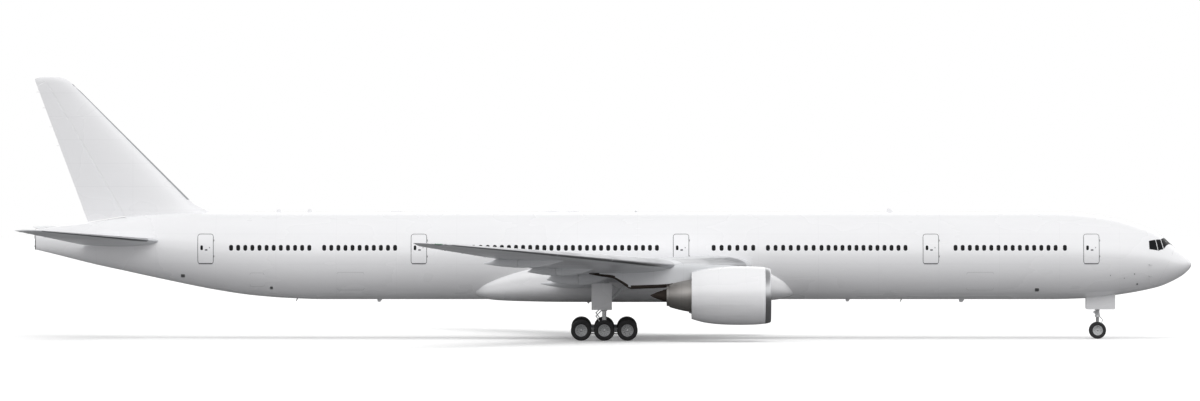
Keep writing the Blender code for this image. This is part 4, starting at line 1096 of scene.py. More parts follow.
tailValues = {
    "fin": (
        (3.300, -12.20, -16.28), (4.020, -12.56, -16.55), (4.120, -12.82, -16.59), (4.270, -13.09, -16.64),
        (7.950, -16.79, -18.02), (8.110, -16.97, -18.08), (8.210, -17.13, -18.11), (8.268, -17.32, -17.95),
    ),
    "thickness": 0.095,
    "rudderHinge": ((-15.300, 3.910), (-17.765, 8.130)),
    "rudderRoot": 0.9,
    "rudderClearance": 0.027,
    "planeStations": (
        (0.45, -13.820, 3.070, -16.500, 2.960), (1.00, -14.220, 3.110, -16.700, 3.010),
        (3.10, -15.940, 3.290, -17.540, 3.235), (5.20, -17.660, 3.470, -18.380, 3.455),
        (5.34, -17.830, 3.483, -18.430, 3.470), (5.38, -18.050, 3.490, -18.460, 3.478),
    ),
    "elevatorHinge": ((1.02, -15.920), (5.08, -18.065)),
    "trimPivot": (-15.55, 3.055),
    "trimGap": 0.028,
    # metal edges: span, rows and columns, how far back; then lift and thickness
    "finEdge": (4.40, 8.05, 12, 6, 0.022),
    "planeEdge": ((1.30, 5.15), (8, 6, 6), (0.03, 0.03)),
    "edgeShell": (0.002, 0.005),
    "shaftRadius": 0.085,
}


def finRing(station):
    z, front, rear = station
    chord = front - rear
    left = []
    for fraction in wingValues["fractions"]:
        half = max(wingValues["thinnest"], tailValues["thickness"] * chord * thicknessShare(fraction))
        left.append(Vector((front - chord * fraction, half, z)))
    right = [Vector((p.x, -p.y, p.z)) for p in reversed(left)]
    return [Vector((front, 0, z))] + left + right


def finHalf(x, z):
    _, front, rear = rowBetween(tailValues["fin"], z)
    chord = front - rear
    return tailValues["thickness"] * chord * thicknessShare(min(1.0, (front - x) / chord))


def crownBlock(grow):
    # the rear body's crown line, level from side to side
    columns = [-19.2] + [-18.08 + 0.2 * i for i in range(30)]
    rings = []
    for y in (-0.9, 0.9):
        top = [Vector((x, y, sum(bodyShape(x)[:2]) + grow)) for x in columns]
        rings.append(top + [Vector((columns[-1], y, 2.0)), Vector((columns[0], y, 2.0))])
    return loftObject("crown", rings)


def makeFin():
    fin = loftObject("fin_whole", [finRing(station) for station in tailValues["fin"]])
    ends = [(Vector((x, 0, z)), finHalf(x, z) * 0.97) for x, z in tailValues["rudderHinge"]]
    (start, startRadius), (end, endRadius) = ends
    along = (end - start).normalized()
    root = tailValues["rudderRoot"]
    low = (start - along * root, startRadius + (startRadius - endRadius) * root / (end - start).length)
    rudder = copyOf(fin, "rudder_whole")
    combine(rudder, behindHinge("region", (low, ends[1]), 0.0, 0.0, True), "INTERSECT")
    combine(fin, behindHinge("cove", (low, ends[1]), wingValues["gap"], 0.0, True), "DIFFERENCE")
    combine(rudder, crownBlock(tailValues["rudderClearance"]), "DIFFERENCE")
    dressSurface(fin, "fin_skin", "tailPaint", "airframe", ("fin",))
    dressSurface(rudder, "rudder_skin", "tailPaint", "rudder", ("rudder",))


def planeSection(y, fraction):
    _, frontX, frontZ, rearX, rearZ = rowBetween(tailValues["planeStations"], y)
    chord = frontX - rearX
    half = max(wingValues["thinnest"], tailValues["thickness"] * chord * thicknessShare(fraction))
    return frontX - chord * fraction, frontZ + (rearZ - frontZ) * fraction, half


def planeMiddle(x, y):
    _, frontX, _, rearX, _ = rowBetween(tailValues["planeStations"], y)
    return planeSection(y, (frontX - x) / (frontX - rearX))[1:]


def makeTailplanes():
    plane = loftObject("plane", [foilRing(row[0], planeSection) for row in tailValues["planeStations"]])
    columns = steps(-18.08, -12.98, 17)
    grown = [[bodyPoint(x, turn, tailValues["trimGap"]) for turn in fullTurn(72)] for x in columns]
    grown.insert(0, [point + Vector((-0.5, 0, 0)) for point in grown[0]])
    combine(plane, loftObject("clearance", grown), "DIFFERENCE")
    elevator = splitSurface(plane, "elevator", hingeEnds(tailValues["elevatorHinge"], planeMiddle))
    x, z = tailValues["trimPivot"]
    shaft = bmesh.new()
    radius = tailValues["shaftRadius"]
    ring = [Vector((x + radius * math.cos(t), 0.0, z + radius * math.sin(t))) for t in fullTurn(32)]
    addLoft(shaft, [[p + Vector((0, y, 0)) for p in ring] for y in (0.32, 0.95)])
    combine(plane, looseObject("shaft", shaft), "UNION")
    dressPair(plane, "tailplane", "wingPaint", "tailplane")
    bodies = {"left": "elevator_left", "right": "elevator_right"}
    dressPair(elevator, "elevator", "wingPaint", bodies)


def makeEdgeStrips():
    # bare metal leading edges of the fin and the tailplane
    finStrip, planeStrip = bmesh.new(), bmesh.new()
    low, high, rows, columns, depth = tailValues["finEdge"]
    grid = []
    for z in steps(low, high, rows):
        _, front, rear = rowBetween(tailValues["fin"], z)
        chord = front - rear
        row = []
        for step in range(columns, -columns - 1, -1):
            share = (step / columns) ** 2 * depth
            side = (step > 0) - (step < 0)
            half = tailValues["thickness"] * chord * thicknessShare(share)
            row.append(Vector((front - chord * share, side * half, z)))
        grid.append(row)
    addShell(finStrip, grid, *tailValues["edgeShell"])
    addEdgeStrip(planeStrip, planeSection, *tailValues["planeEdge"], *tailValues["edgeShell"])
    makePiece("fin_edge", finStrip, "edgeMetal", "airframe", (), 50)
    makePiece("tailplane_edges", bothSides(planeStrip), "edgeMetal", "tailplane", (), 50)


makeWings()
makeSlats()
makeSpoilers()
makeFin()
makeTailplanes()
makeEdgeStrips()
print("wings and tail made")


# Turned shapes, tubes and blocks, used by the engines and the gear

def smoothLine(points, parts=4):
    # a smooth line through the points, ends held
    made = []
    last = len(points) - 1
    for i in range(last):
        p0, p1, p2, p3 = points[max(i - 1, 0)], points[i], points[i + 1], points[min(i + 2, last)]
        for step in range(parts):
            t = step / parts
            made.append(tuple(
                0.5 * (2 * b + (c - a) * t + (2 * a - 5 * b + 4 * c - d) * t**2 + (3 * b - a - 3 * c + d) * t**3)
                for a, b, c, d in zip(p0, p1, p2, p3)
            ))
    return made + [tuple(points[-1])]


def squared(turn, power):
    # a point of a rounded square, by its turn from the top
    across, along = math.sin(turn), math.cos(turn)
    scale = (abs(across) ** power + abs(along) ** power) ** (-1 / power)
    return across * scale, along * scale


def addTurned(bm, profile, centre, axis="X", sides=64, closed=False, material=0):
    # a profile of (place along the axis, radius) turned round it
    rings = []
    for along, radius in profile:
        turns = [0.0] if radius < 1e-5 else fullTurn(sides)
        ring = []
        for turn in turns:
            a, b = radius * math.sin(turn), radius * math.cos(turn)
            place = {"X": (along, a, b), "Y": (b, along, a), "Z": (a, b, along)}[axis]
            ring.append(bm.verts.new(Vector(centre) + Vector(place)))
        rings.append(ring)
    pairs = list(zip(rings, rings[1:]))
    if closed:
        pairs.append((rings[-1], rings[0]))
    for first, second in pairs:
        for i in range(sides):
            j = (i + 1) % sides
            corners = [first[i % len(first)], first[j % len(first)]]
            corners += [second[j % len(second)], second[i % len(second)]]
            corners = list(dict.fromkeys(corners))
            if len(corners) > 2:
                bm.faces.new(corners).material_index = material
    if not closed:
        for ring in (rings[0], rings[-1]):
            if len(ring) > 2:
                bm.faces.new(ring).material_index = material


def addRod(bm, start, end, radius, endRadius=None, sides=20, edge=0.2, material=0):
    # a round rod with chamfered ends between two points
    start, end = Vector(start), Vector(end)
    along = end - start
    length = along.length
    along.normalize()
    across = along.orthogonal().normalized()
    other = along.cross(across)
    last = radius if endRadius is None else endRadius
    cut = edge * min(radius, last)
    rings = []
    for place, size in ((0.0, radius - cut), (cut, radius), (length - cut, last), (length, last - cut)):
        rings.append([start + along * place + (across * math.cos(t) + other * math.sin(t)) * size
                      for t in fullTurn(sides)])
    before = len(bm.faces)
    addLoft(bm, rings)
    bm.faces.ensure_lookup_table()
    for face in bm.faces[before:]:
        face.material_index = material


def addPin(bm, middle, reach, radius, sides=20):
    # a rod across the aircraft, this far to each side of its middle
    off = Vector((0, reach, 0))
    addRod(bm, Vector(middle) - off, Vector(middle) + off, radius, None, sides)


def addTorqueLinks(bm, foot, values):
    # two pairs of arms that meet at a pin
    apex, sides = foot + Vector(values["apex"]), values["sides"]
    for z, reach, armX, pinX in values["rows"]:
        for sign in (1, -1):
            start = foot + Vector((armX, sign * reach, z))
            addRod(bm, start, apex + Vector((0, sign * values["spread"], 0)), *values["arm"], 12)
        addPin(bm, foot + Vector((pinX, 0, z)), reach + values["over"], values["pin"], sides)
    addPin(bm, apex, *values["apexPin"], sides)


def addBlock(bm, low, high, bevel=0.006, material=0, move=None):
    # a block with rounded edges
    part = bmesh.new()
    bmesh.ops.create_cube(part, size=1.0)
    size = Vector(high) - Vector(low)
    middle = (Vector(high) + Vector(low)) / 2
    for vert in part.verts:
        vert.co = Vector(a * b for a, b in zip(vert.co, size)) + middle
    bmesh.ops.bevel(part, geom=part.edges[:], offset=bevel, segments=2, affect="EDGES", profile=0.5)
    if move is not None:
        part.transform(move)
    mergeInto(bm, part, material)


def addBlockAt(bm, middle, size, bevel):
    # a block about its middle
    middle, half = Vector(middle), Vector(size) / 2
    addBlock(bm, middle - half, middle + half, bevel)


def mergeInto(bm, part, material=None):
    if material is not None:
        for face in part.faces:
            face.material_index = material
    mesh = bpy.data.meshes.new("part")
    part.to_mesh(mesh)
    part.free()
    bm.from_mesh(mesh)
    bpy.data.meshes.remove(mesh)


def sidePiece(name, build, material, body, stands=None, angle=32):
    # a piece built for the left side, and its mirror image on the right
    for side, sideName in sides:
        bm = bmesh.new()
        build(bm)
        if side < 0:
            bmesh.ops.scale(bm, vec=(1, -1, 1), verts=bm.verts)
            bmesh.ops.reverse_faces(bm, faces=bm.faces)
        nodes = (f"{stands}_{sideName}",) if stands else ()
        makePiece(f"{name}_{sideName}", bm, material, body, nodes, angle)


def roundCopiesTree():
    # one shape repeated evenly round an axis
    sizes = (("Count", "Int", 8), ("Centre", "Vector", None), ("Axis", "Vector", (1.0, 0.0, 0.0)))
    tree, given = growTree("copiesRoundAxis", sizes)
    back = putNode(tree, "ShaderNodeVectorMath", {0: given["Centre"], "Scale": -1.0}, operation="SCALE")
    feeds = {"Geometry": given["Geometry"], "Translation": back.outputs[0]}
    atOrigin = putNode(tree, "GeometryNodeTransform", feeds)
    points = putNode(tree, "GeometryNodePoints", {"Count": given["Count"], "Position": given["Centre"]})
    index = tree.nodes.new("GeometryNodeInputIndex").outputs[0]
    turn = mathNode(tree, "MULTIPLY", mathNode(tree, "DIVIDE", index, given["Count"]), 2 * math.pi)
    lean = putNode(tree, "ShaderNodeVectorMath", {0: given["Axis"], "Scale": turn}, operation="SCALE")
    return endTree(tree, given, points.outputs[0], atOrigin.outputs[0], lean.outputs[0])


roundCopies = roundCopiesTree()


def repeatRound(name, bm, count, centre, axis, material, body, stands=(), angle=35):
    bmesh.ops.recalc_face_normals(bm, faces=bm.faces)
    values = {"Count": count, "Centre": tuple(centre), "Axis": axis, "Material": finish[material]}
    mesh = bpy.data.meshes.new(name)
    bm.to_mesh(mesh)
    bm.free()
    return growMesh(name, mesh, roundCopies, values, body, stands, angle)


# Wing-body fairing: station X, centre Z, half width, rise and drop

fairingValues = {
    "stations": (
        (-4.25, 1.560, 0.700, 0.180, 0.180), (-3.80, 1.610, 1.100, 0.330, 0.350),
        (-3.30, 1.700, 1.290, 0.470, 0.490),
        (-2.60, 1.800, 1.420, 0.620, 0.615),
        (-1.40, 1.880, 1.530, 0.750, 0.716), (0.20, 1.900, 1.570, 0.830, 0.739),
        (2.20, 1.900, 1.570, 0.860, 0.739),
        (3.60, 1.890, 1.540, 0.850, 0.722), (4.55, 1.850, 1.450, 0.740, 0.660),
        (5.15, 1.780, 1.320, 0.560, 0.560),
        (5.55, 1.700, 1.130, 0.370, 0.430), (5.85, 1.640, 0.800, 0.180, 0.300),
    ),
    "power": 3.0,
    "rows": 72,
    "sides": 96,
}


def fairingPoint(x, turn, slopes):
    centre, halfWidth, rise, drop = smoothRow(fairingValues["stations"], slopes, x)
    across, along = squared(turn, fairingValues["power"])
    return Vector((x, halfWidth * across, centre + (rise if along > 0 else drop) * along))


def makeFairing():
    stations = fairingValues["stations"]
    slopes = slopeTable(stations)
    bm = bmesh.new()
    first, last = stations[0][0], stations[-1][0]
    rings = []
    for share in steps(0.0, 1.0, fairingValues["rows"]):
        x = first + (last - first) * (0.5 - 0.5 * math.cos(math.pi * share))
        rings.append([fairingPoint(x, turn, slopes) for turn in fullTurn(fairingValues["sides"])])
    addLoft(bm, rings)
    makePiece("wing_body_fairing_skin", bm, "whitePaint", "airframe", ("wing_body_fairing",),
              50)


# Engines

engineValues = {
    "y": 4.90,
    "z": 1.45,
    "sides": 96,
    "outer": ((4.919, 0.880), (4.60, 0.908), (4.10, 0.917), (3.50, 0.900), (3.00, 0.838), (2.62, 0.733)),
    "inner": ((2.62, 0.722), (2.95, 0.757), (3.40, 0.762), (4.15, 0.762), (4.60, 0.738), (4.919, 0.745)),
    "lip": (
        (4.9205, 0.880), (5.00, 0.866), (5.06, 0.846), (5.092, 0.822), (5.100, 0.800), (5.090, 0.780),
        (5.05, 0.762), (4.98, 0.750), (4.9205, 0.745),
    ),
    "panelLines": (3.460, 4.310),
    "lineWidth": 0.008,
    "lineDepth": 0.004,
    # lines round the core: places, width, depth
    "coreLines": ((2.445, 2.105), 0.006, 0.003),
    "core": (
        (3.860, 0.300), (3.780, 0.410), (3.400, 0.485), (3.000, 0.530),
        (2.620, 0.518), (2.250, 0.452), (1.946, 0.3685),
    ),
    "nozzle": ((1.936, 0.366), (1.925, 0.336), (1.870, 0.327), (1.843, 0.321), (1.843, 0.305),
               (2.030, 0.300)),
    "plug": ((2.0297, 0.235), (1.843, 0.204), (1.700, 0.160), (1.55, 0.105), (1.44, 0.058),
             (1.38, 0.030), (1.345, 0.012)),
    "plugTip": 1.333,
    "fanX": 3.975,
    "blades": 22,
    # fan blade: radius, chord, lean in degrees, thickness, sweep along X
    "blade": (
        (0.185, 0.140, 28, 0.020, 0.000), (0.30, 0.165, 36, 0.016, 0.006), (0.42, 0.190, 44, 0.013, 0.010),
        (0.54, 0.205, 51, 0.010, 0.006), (0.65, 0.205, 57, 0.008, -0.008), (0.747, 0.180, 61, 0.006, -0.026),
    ),
    "hub": (
        (4.480, 0.0), (4.476, 0.016), (4.455, 0.050), (4.415, 0.085),
        (4.360, 0.118), (4.290, 0.150), (4.220, 0.178),
        (4.060, 0.235), (3.960, 0.255), (3.870, 0.262), (3.870, 0.0),
    ),
    "vanes": 44,
    "vaneX": 3.50,
    "vaneRadii": (0.36, 0.56, 0.755),
    "vane": (0.17, -14, 0.010, 0.0),
}


def grooved(profile, places, width, depth):
    # cuts narrow grooves into a turned profile that runs one way
    made = []
    for (x0, r0), (x1, r1) in zip(profile, profile[1:]):
        made.append((x0, r0))
        inside = [x for x in places if min(x0, x1) < x < max(x0, x1)]
        for x in sorted(inside, reverse=x1 < x0):
            sign = -1 if x1 < x0 else 1
            half, floor = width / 2, width / 2 - 0.001
            for off, drop in ((-half, 0.0), (-floor, depth), (floor, depth), (half, 0.0)):
                place = x + sign * off
                share = (place - x0) / (x1 - x0)
                made.append((place, r0 + (r1 - r0) * share - drop))
    return made + [profile[-1]]


def engineCentre():
    return (0.0, engineValues["y"], engineValues["z"])


def buildLip(bm):
    addTurned(bm, smoothLine(engineValues["lip"], 4), engineCentre(), "X", engineValues["sides"], True)


def buildCowl(bm):
    values = engineValues
    outer = smoothLine(values["outer"], 6)
    outer = grooved(outer, values["panelLines"], values["lineWidth"], values["lineDepth"])
    addTurned(bm, outer + smoothLine(values["inner"], 6), engineCentre(), "X", values["sides"], True)
    bmesh.ops.recalc_face_normals(bm, faces=bm.faces)
    middle = Vector(engineCentre())
    for face in bm.faces:
        spot = face.calc_center_median() - middle
        spot.x = 0.0
        face.material_index = 1 if face.normal.dot(spot.normalized()) < -0.5 else 0


def buildCore(bm):
    values = engineValues
    body = grooved(smoothLine(values["core"], 6), *values["coreLines"])
    profile = [(3.860, 0.0)] + body + list(values["nozzle"]) + [(2.030, 0.0)]
    addTurned(bm, profile, engineCentre(), "X", values["sides"])


def buildPlug(bm):
    profile = [(2.0297, 0.0)] + smoothLine(engineValues["plug"], 3) + [(engineValues["plugTip"], 0.0)]
    addTurned(bm, profile, engineCentre(), "X", 64)


def addBlade(bm, table, centre, x, camber):
    # a curved blade standing up from the axis, its outline smoothed from a table of stations
    rings = []
    count = 9
    for radius, chord, lean, thickness, sweep in smoothLine(table, 2):
        turn = math.radians(lean)
        upper, lower = [], []
        for i in range(count):
            share = 0.5 - 0.5 * math.cos(math.pi * i / (count - 1))
            along = chord * (0.5 - share)
            bow = camber * chord * 4 * share * (1 - share)
            half = thickness / 2 * (4 * share * (1 - share)) ** 0.5
            for line, across in ((upper, bow + half), (lower, bow - half)):
                spotX = x + sweep + along * math.cos(turn) - across * math.sin(turn)
                spotY = along * math.sin(turn) + across * math.cos(turn)
                line.append(Vector((spotX, centre[1] + spotY, centre[2] + radius)))
        rings.append(upper + lower[-2:0:-1])
    addLoft(bm, rings)


pylonValues = {
    # station X, top Z, bottom Z, half width
    "stations": (
        (-0.580, 2.290, 2.120, 0.006), (-0.300, 2.330, 2.062, 0.050), (0.170, 2.370, 1.985, 0.085),
        (0.450, 2.385, 1.820, 0.100), (0.730, 2.402, 1.652, 0.112), (1.200, 2.405, 1.668, 0.126),
        (1.860, 2.410, 1.700, 0.135), (2.250, 2.415, 1.790, 0.135), (2.600, 2.425, 1.880, 0.132),
        (3.200, 2.412, 2.100, 0.122), (3.800, 2.392, 2.200, 0.095), (4.150, 2.352, 2.230, 0.050),
        (4.320, 2.262, 2.240, 0.010),
    ),
    "sides": 40,
    "squareness": 4.5,
    "shieldHeight": 0.085,
}


def buildPylon(bm):
    stations, power = pylonValues["stations"], pylonValues["squareness"]
    slopes = slopeTable(stations)
    rings = []
    for x in steps(stations[0][0], stations[-1][0], 60):
        top, bottom, half = smoothRow(stations, slopes, x)
        middle, rise = (top + bottom) / 2, (top - bottom) / 2
        ring = []
        for turn in fullTurn(pylonValues["sides"]):
            across, along = squared(turn, power)
            ring.append(Vector((x, engineValues["y"] + half * across, middle + rise * along)))
        rings.append(ring)
    addLoft(bm, rings)
    for face in bm.faces:
        spot = face.calc_center_median()
        bottom = smoothRow(stations, slopes, spot.x)[1]
        if spot.x < 2.0 and spot.z < bottom + pylonValues["shieldHeight"]:
            face.material_index = 1


def makeEngines():
    for name, build, material, slot, node, angle in (
        ("intake_lip_skin", buildLip, "bareMetal", "bare_metal", "intake_lip", 60),
        ("nacelle_skin", buildCowl, ("whitePaint", "linerGrey"), "white_paint", "nacelle", 28),
        ("engine_core_skin", buildCore, "hotMetal", "hot_metal", "engine_core", 28),
        ("exhaust_plug_skin", buildPlug, "plugMetal", "hot_metal", "exhaust_plug", 40),
        ("pylon_skin", buildPylon, ("wingPaint", "plugMetal"), "white_paint", "pylon", 50),
    ):
        sidePiece(name, build, material, "airframe", node, angle)
    axis = (1.0, 0.0, 0.0)
    vaneTable = [(radius, *engineValues["vane"]) for radius in engineValues["vaneRadii"]]
    for side, sideName in sides:
        centre = Vector((0.0, side * engineValues["y"], engineValues["z"]))
        fan = f"fan_{sideName}"
        blade, vane, hub = bmesh.new(), bmesh.new(), bmesh.new()
        addBlade(blade, engineValues["blade"], centre, engineValues["fanX"], 0.06)
        repeatRound(fan + "_blades", blade, engineValues["blades"], centre, axis, "bladeTitanium", fan,
                    (fan,))
        addBlade(vane, vaneTable, centre, engineValues["vaneX"], 0.05)
        repeatRound(f"guide_vanes_{sideName}", vane, engineValues["vanes"], centre, axis, "linerGrey",
                    "airframe")
        addTurned(hub, engineValues["hub"], centre, "X", 64)
        makePiece(f"spinner_{sideName}", hub, "spinnerPaint", fan)


makeFairing()
makeEngines()
print("fairing and engines made")


# Landing gear

wheelValues = {
    # hub cap: shares of the half width and of the radius
    "cap": ((0.08, 0.0), (0.08, 0.115), (0.30, 0.110), (0.38, 0.085), (0.40, 0.0)),
    "sides": 72,
    # tyre outline as shares of half width and radius, outer half only
    "tyre": (
        (0.70, 0.560), (0.84, 0.585), (0.95, 0.660), (1.00, 0.760),
        (0.985, 0.860), (0.93, 0.935), (0.82, 0.975),
    ),
    "crown": ((0.66, 0.990), (0.42, 0.997), (0.16, 1.0)),
    "groove": (0.035, 0.978),
    # rim outline as shares of half width and radius, from the outer face to the inner
    "rim": (
        (0.10, 0.090), (0.16, 0.150), (0.18, 0.215), (0.30, 0.260),
        (0.36, 0.420), (0.60, 0.500), (0.78, 0.530),
        (0.86, 0.585), (0.80, 0.595), (0.72, 0.555),
    ),
    "boltCircle": 0.34,
    "bolts": 12,
}
mainGearValues = {
    "x": -0.10,
    "y": 2.75,
    "radius": 0.32366,
    "halfWidth": 0.122,
    "twin": 0.345,
    "pitch": 0.725,
    "axleRadius": 0.042,
    "pistonRadius": 0.066,
    "kneeZ": 0.95,
    # leg door: X from and to, Y, thickness, Z from and to
    "door": (-0.50, 0.14, 2.900, 0.018, 0.96, 1.80),
    # fork's collar above the axle, and the outer cylinder with its bands: height, radius
    "collar": ((0.10, 0.060), (0.15, 0.078), (0.175, 0.078), (0.185, 0.066)),
    "cylinder": (
        (0.920, 0.068), (0.922, 0.084), (0.928, 0.089), (0.980, 0.089), (0.986, 0.082), (1.110, 0.082),
        (1.116, 0.090), (1.165, 0.090), (1.171, 0.083), (1.400, 0.083), (1.406, 0.091), (1.440, 0.091),
        (1.446, 0.083), (1.760, 0.085), (1.766, 0.092), (1.850, 0.092), (2.160, 0.092),
    ),
    # side and drag brace from the leg's foot: start, end, then the locking link's end and radius
    "braces": (
        ((0, 0, 1.12), (-0.04, -1.01, 2.02), (0, -0.03, 1.80), 0.018),
        ((0, 0, 1.05), (0.98, -0.12, 2.10), (0, -0.02, 1.88), 0.020),
    ),
    # lugs on a brace: share of its length, half length, radius, chamfer
    "lugs": ((0.52, 0.055, 0.050, 0.25), (0.16, 0.022, 0.045, 0.3), (0.90, 0.022, 0.045, 0.3)),
    # torque links: height, reach, then X of the arms and of their pin
    "links": {
        "rows": ((0.985, 0.052, -0.045, -0.050), (0.45866, 0.046, -0.045, -0.050)),
        "apex": (-0.262, 0, 0.768), "spread": 0.016, "arm": (0.018, 0.014), "over": 0.018, "pin": 0.024,
        "apexPin": (0.036, 0.020), "sides": 16,
    },
    # half of the truck beam, and one brake pack: place from the middle, radius
    "beam": ((0.115, 0.0695), (0.180, 0.064), (0.440, 0.064), (0.500, 0.071), (0.780, 0.071), (0.820, 0.060),
             (0.830, 0.046)),
    "brakePack": ((0.176, 0.070), (0.176, 0.112), (0.181, 0.124), (0.205, 0.124), (0.207, 0.120),
                  (0.212, 0.120),
                  (0.214, 0.124), (0.232, 0.124), (0.236, 0.116), (0.236, 0.070)),
    "brakePistons": 7,
}
noseGearValues = {
    "x": 15.50,
    "radius": 0.26726,
    "halfWidth": 0.088,
    "twin": 0.155,
    "axleRadius": 0.034,
    "pistonRadius": 0.048,
    "steeringZ": 0.760,
    "doorX": (15.13, 16.05),
    "doorZ": (0.93, 1.50),
    "doorY": (0.254, 0.272),
    # outlines of height and radius; the fork's one is above the axle
    "cylinder": (
        (0.761, 0.052), (0.761, 0.066), (0.768, 0.070), (0.810, 0.070), (0.816, 0.062), (0.890, 0.062),
        (0.896, 0.069), (0.930, 0.069), (0.936, 0.062), (1.220, 0.062), (1.226, 0.069), (1.260, 0.069),
        (1.266, 0.063), (1.560, 0.064), (1.566, 0.070), (1.7997, 0.070),
    ),
    "collar": ((0.685, 0.050), (0.686, 0.078), (0.694, 0.082), (0.750, 0.082), (0.758, 0.078),
               (0.759, 0.050)),
    "fork": ((0.03, 0.046), (0.065, 0.058), (0.095, 0.058), (0.105, 0.050)),
    "lampShell": ((-0.030, 0.0), (-0.026, 0.022), (0.000, 0.038), (0.044, 0.046), (0.050, 0.046),
                  (0.050, 0.041),
                  (0.040, 0.0)),
    "lampGlass": ((0.041, 0.0), (0.041, 0.0405), (0.046, 0.036), (0.051, 0.0)),
    "links": {
        "rows": ((0.715, 0.040, 0.060, 0.060), (0.34226, 0.034, 0.042, 0.042)),
        "apex": (0.172, 0, 0.596), "spread": 0.012, "arm": (0.013, 0.010), "over": 0.012, "pin": 0.016,
        "apexPin": (0.026, 0.014), "sides": 14,
    },
    # rods of the fixed leg from its foot: start, end, radii, sides and chamfer
    "rods": (
        ((0.02, 0.0364, 1.075), (0.44, 0.1144, 1.675), 0.019, 0.021, 14),
        ((0.02, -0.0364, 1.075), (0.44, -0.1144, 1.675), 0.019, 0.021, 14),
        ((0, 0, 1.05), (0.0704, 0, 1.15), 0.032, None, 16),
        ((0.45, -0.215, 1.69), (0.45, 0.215, 1.69), 0.026),
        ((0.242, -0.10, 1.39375), (0.242, 0.10, 1.39375), 0.014, None, 12),
        ((0.242, 0, 1.39375), (0.02, 0, 1.52), 0.016, None, 12),
        ((-0.095, -0.148, 0.84), (-0.095, 0.148, 0.84), 0.031),
        ((-0.095, -0.075, 0.84), (-0.095, 0.075, 0.84), 0.034),
        ((-0.078, 0.018, 0.90), (-0.078, 0.018, 1.60), 0.006, None, 8, 0.1),
        ((-0.078, -0.018, 0.90), (-0.078, -0.018, 1.60), 0.006, None, 8, 0.1),
    ),
}


def tyreOutline(halfWidth, radius):
    side = [(out * halfWidth, share * radius) for out, share in smoothLine(wheelValues["tyre"], 3)]
    width, floorShare = wheelValues["groove"]
    tread = []
    for out, share in wheelValues["crown"]:
        place = out * halfWidth
        half = width * halfWidth
        inner = half * 0.8
        for off, level in ((half, share), (inner, floorShare), (-inner, floorShare), (-half, share)):
            tread.append((place + off, level * radius))
    right = side + tread
    return right + [(-along, size) for along, size in reversed(right)]


def addTyre(bm, centre, halfWidth, radius):
    inner = [(-0.66 * halfWidth, 0.555 * radius), (0.66 * halfWidth, 0.555 * radius)]
    addTurned(bm, tyreOutline(halfWidth, radius) + inner, centre, "Y", wheelValues["sides"], True, 0)


def addRim(bm, centre, halfWidth, radius, side, material):
    # the hub with its rim: the same dish on the outer face, a flat web on the inner
    outer = [(side * out * halfWidth, share * radius) for out, share in smoothLine(wheelValues["rim"], 2)]
    inner = [(-side * out * halfWidth, share * radius) for out, share in
             ((0.66, 0.553), (0.74, 0.590), (0.68, 0.520), (0.30, 0.480), (0.22, 0.200), (0.20, 0.130))]
    profile = [(side * 0.10 * halfWidth, 0.0)] + outer + inner + [(-side * 0.20 * halfWidth, 0.0)]
    addTurned(bm, profile, centre, "Y", wheelValues["sides"], False, material)


def makeWheels(node, centre, halfWidth, radius, twin, axleRadius):
    tyres, rims, bolt = (bmesh.new() for _ in range(3))

    def spot(side, share, up=0.0):
        return Vector(centre) + Vector((0, side * (twin + share * halfWidth), up))

    away = wheelValues["boltCircle"] * radius
    gap = away + 0.105 * radius
    for side in (1, -1):
        middle = spot(side, 0.0)
        addTyre(tyres, middle, halfWidth, radius)
        addRim(rims, middle, halfWidth, radius, side, 0)
        profile = [(side * a * halfWidth, r * radius) for a, r in wheelValues["cap"]]
        addTurned(rims, profile, middle, "Y", 32, False, 1)
        addRod(bolt, spot(side, 0.30, away), spot(side, 0.41, away), 0.030 * radius, None, 6, 0.15)
        addRod(bolt, spot(side, 0.52, gap), spot(side, 0.57, gap), 0.020 * radius, None, 8, 0.15)
    addRod(rims, spot(1, 0.1), spot(-1, 0.1), axleRadius, None, 32, 0.1, 1)
    makePiece(node + "_tyres", tyres, "tyreRubber", node, (node,), 35)
    makePiece(node + "_rims", rims, ("wheelPaint", "oleoChrome"), node, (), 35)
    repeatRound(node + "_bolts", bolt, wheelValues["bolts"], centre, (0.0, 1.0, 0.0), "brakeMetal", node)


def buildMainLeg(bm):
    values = mainGearValues
    foot = Vector((values["x"], values["y"], 0))
    hub = foot + Vector((0, 0, values["radius"]))
    # fork, its cheeks and its collar
    addBlockAt(bm, hub + Vector((0, 0, 0.10925)), (0.144, 0.216, 0.0815), 0.012)
    for sign in (1, -1):
        addBlockAt(bm, hub + Vector((0, sign * 0.093, 0.027)), (0.124, 0.030, 0.186), 0.014)
        out = Vector((0, sign, 0))
        addRod(bm, hub + out * 0.079, hub + out * 0.120, 0.060, None, 32, 0.15)
    addTurned(bm, values["collar"], hub, "Z", 40)
    addTurned(bm, values["cylinder"], foot, "Z", 48)
    for start, end, lock, radius in values["braces"]:
        start, end = foot + Vector(start), foot + Vector(end)
        addRod(bm, start, end, 0.038, 0.040)
        along = (end - start).normalized()
        for share, half, size, edge in values["lugs"]:
            spot = start.lerp(end, share)
            addRod(bm, spot - along * half, spot + along * half, size, None, 20, edge)
        addRod(bm, start.lerp(end, 0.52), foot + Vector(lock), radius, None, 12)
    addRod(bm, foot + Vector((-0.085, 0, 1.16)), foot + Vector((0.085, 0, 1.16)), 0.034)
    addTorqueLinks(bm, foot, values["links"])
    # hydraulic lines down the leg, and their clips
    for off in (0.030, -0.030):
        addRod(bm, foot + Vector((0.092, off, 0.98)), foot + Vector((0.098, off, 1.95)), 0.007, None, 8, 0.1)
    for z in (1.24, 1.52, 1.70):
        addBlockAt(bm, foot + Vector((0.093, 0, z)), (0.030, 0.090, 0.020), 0.003)


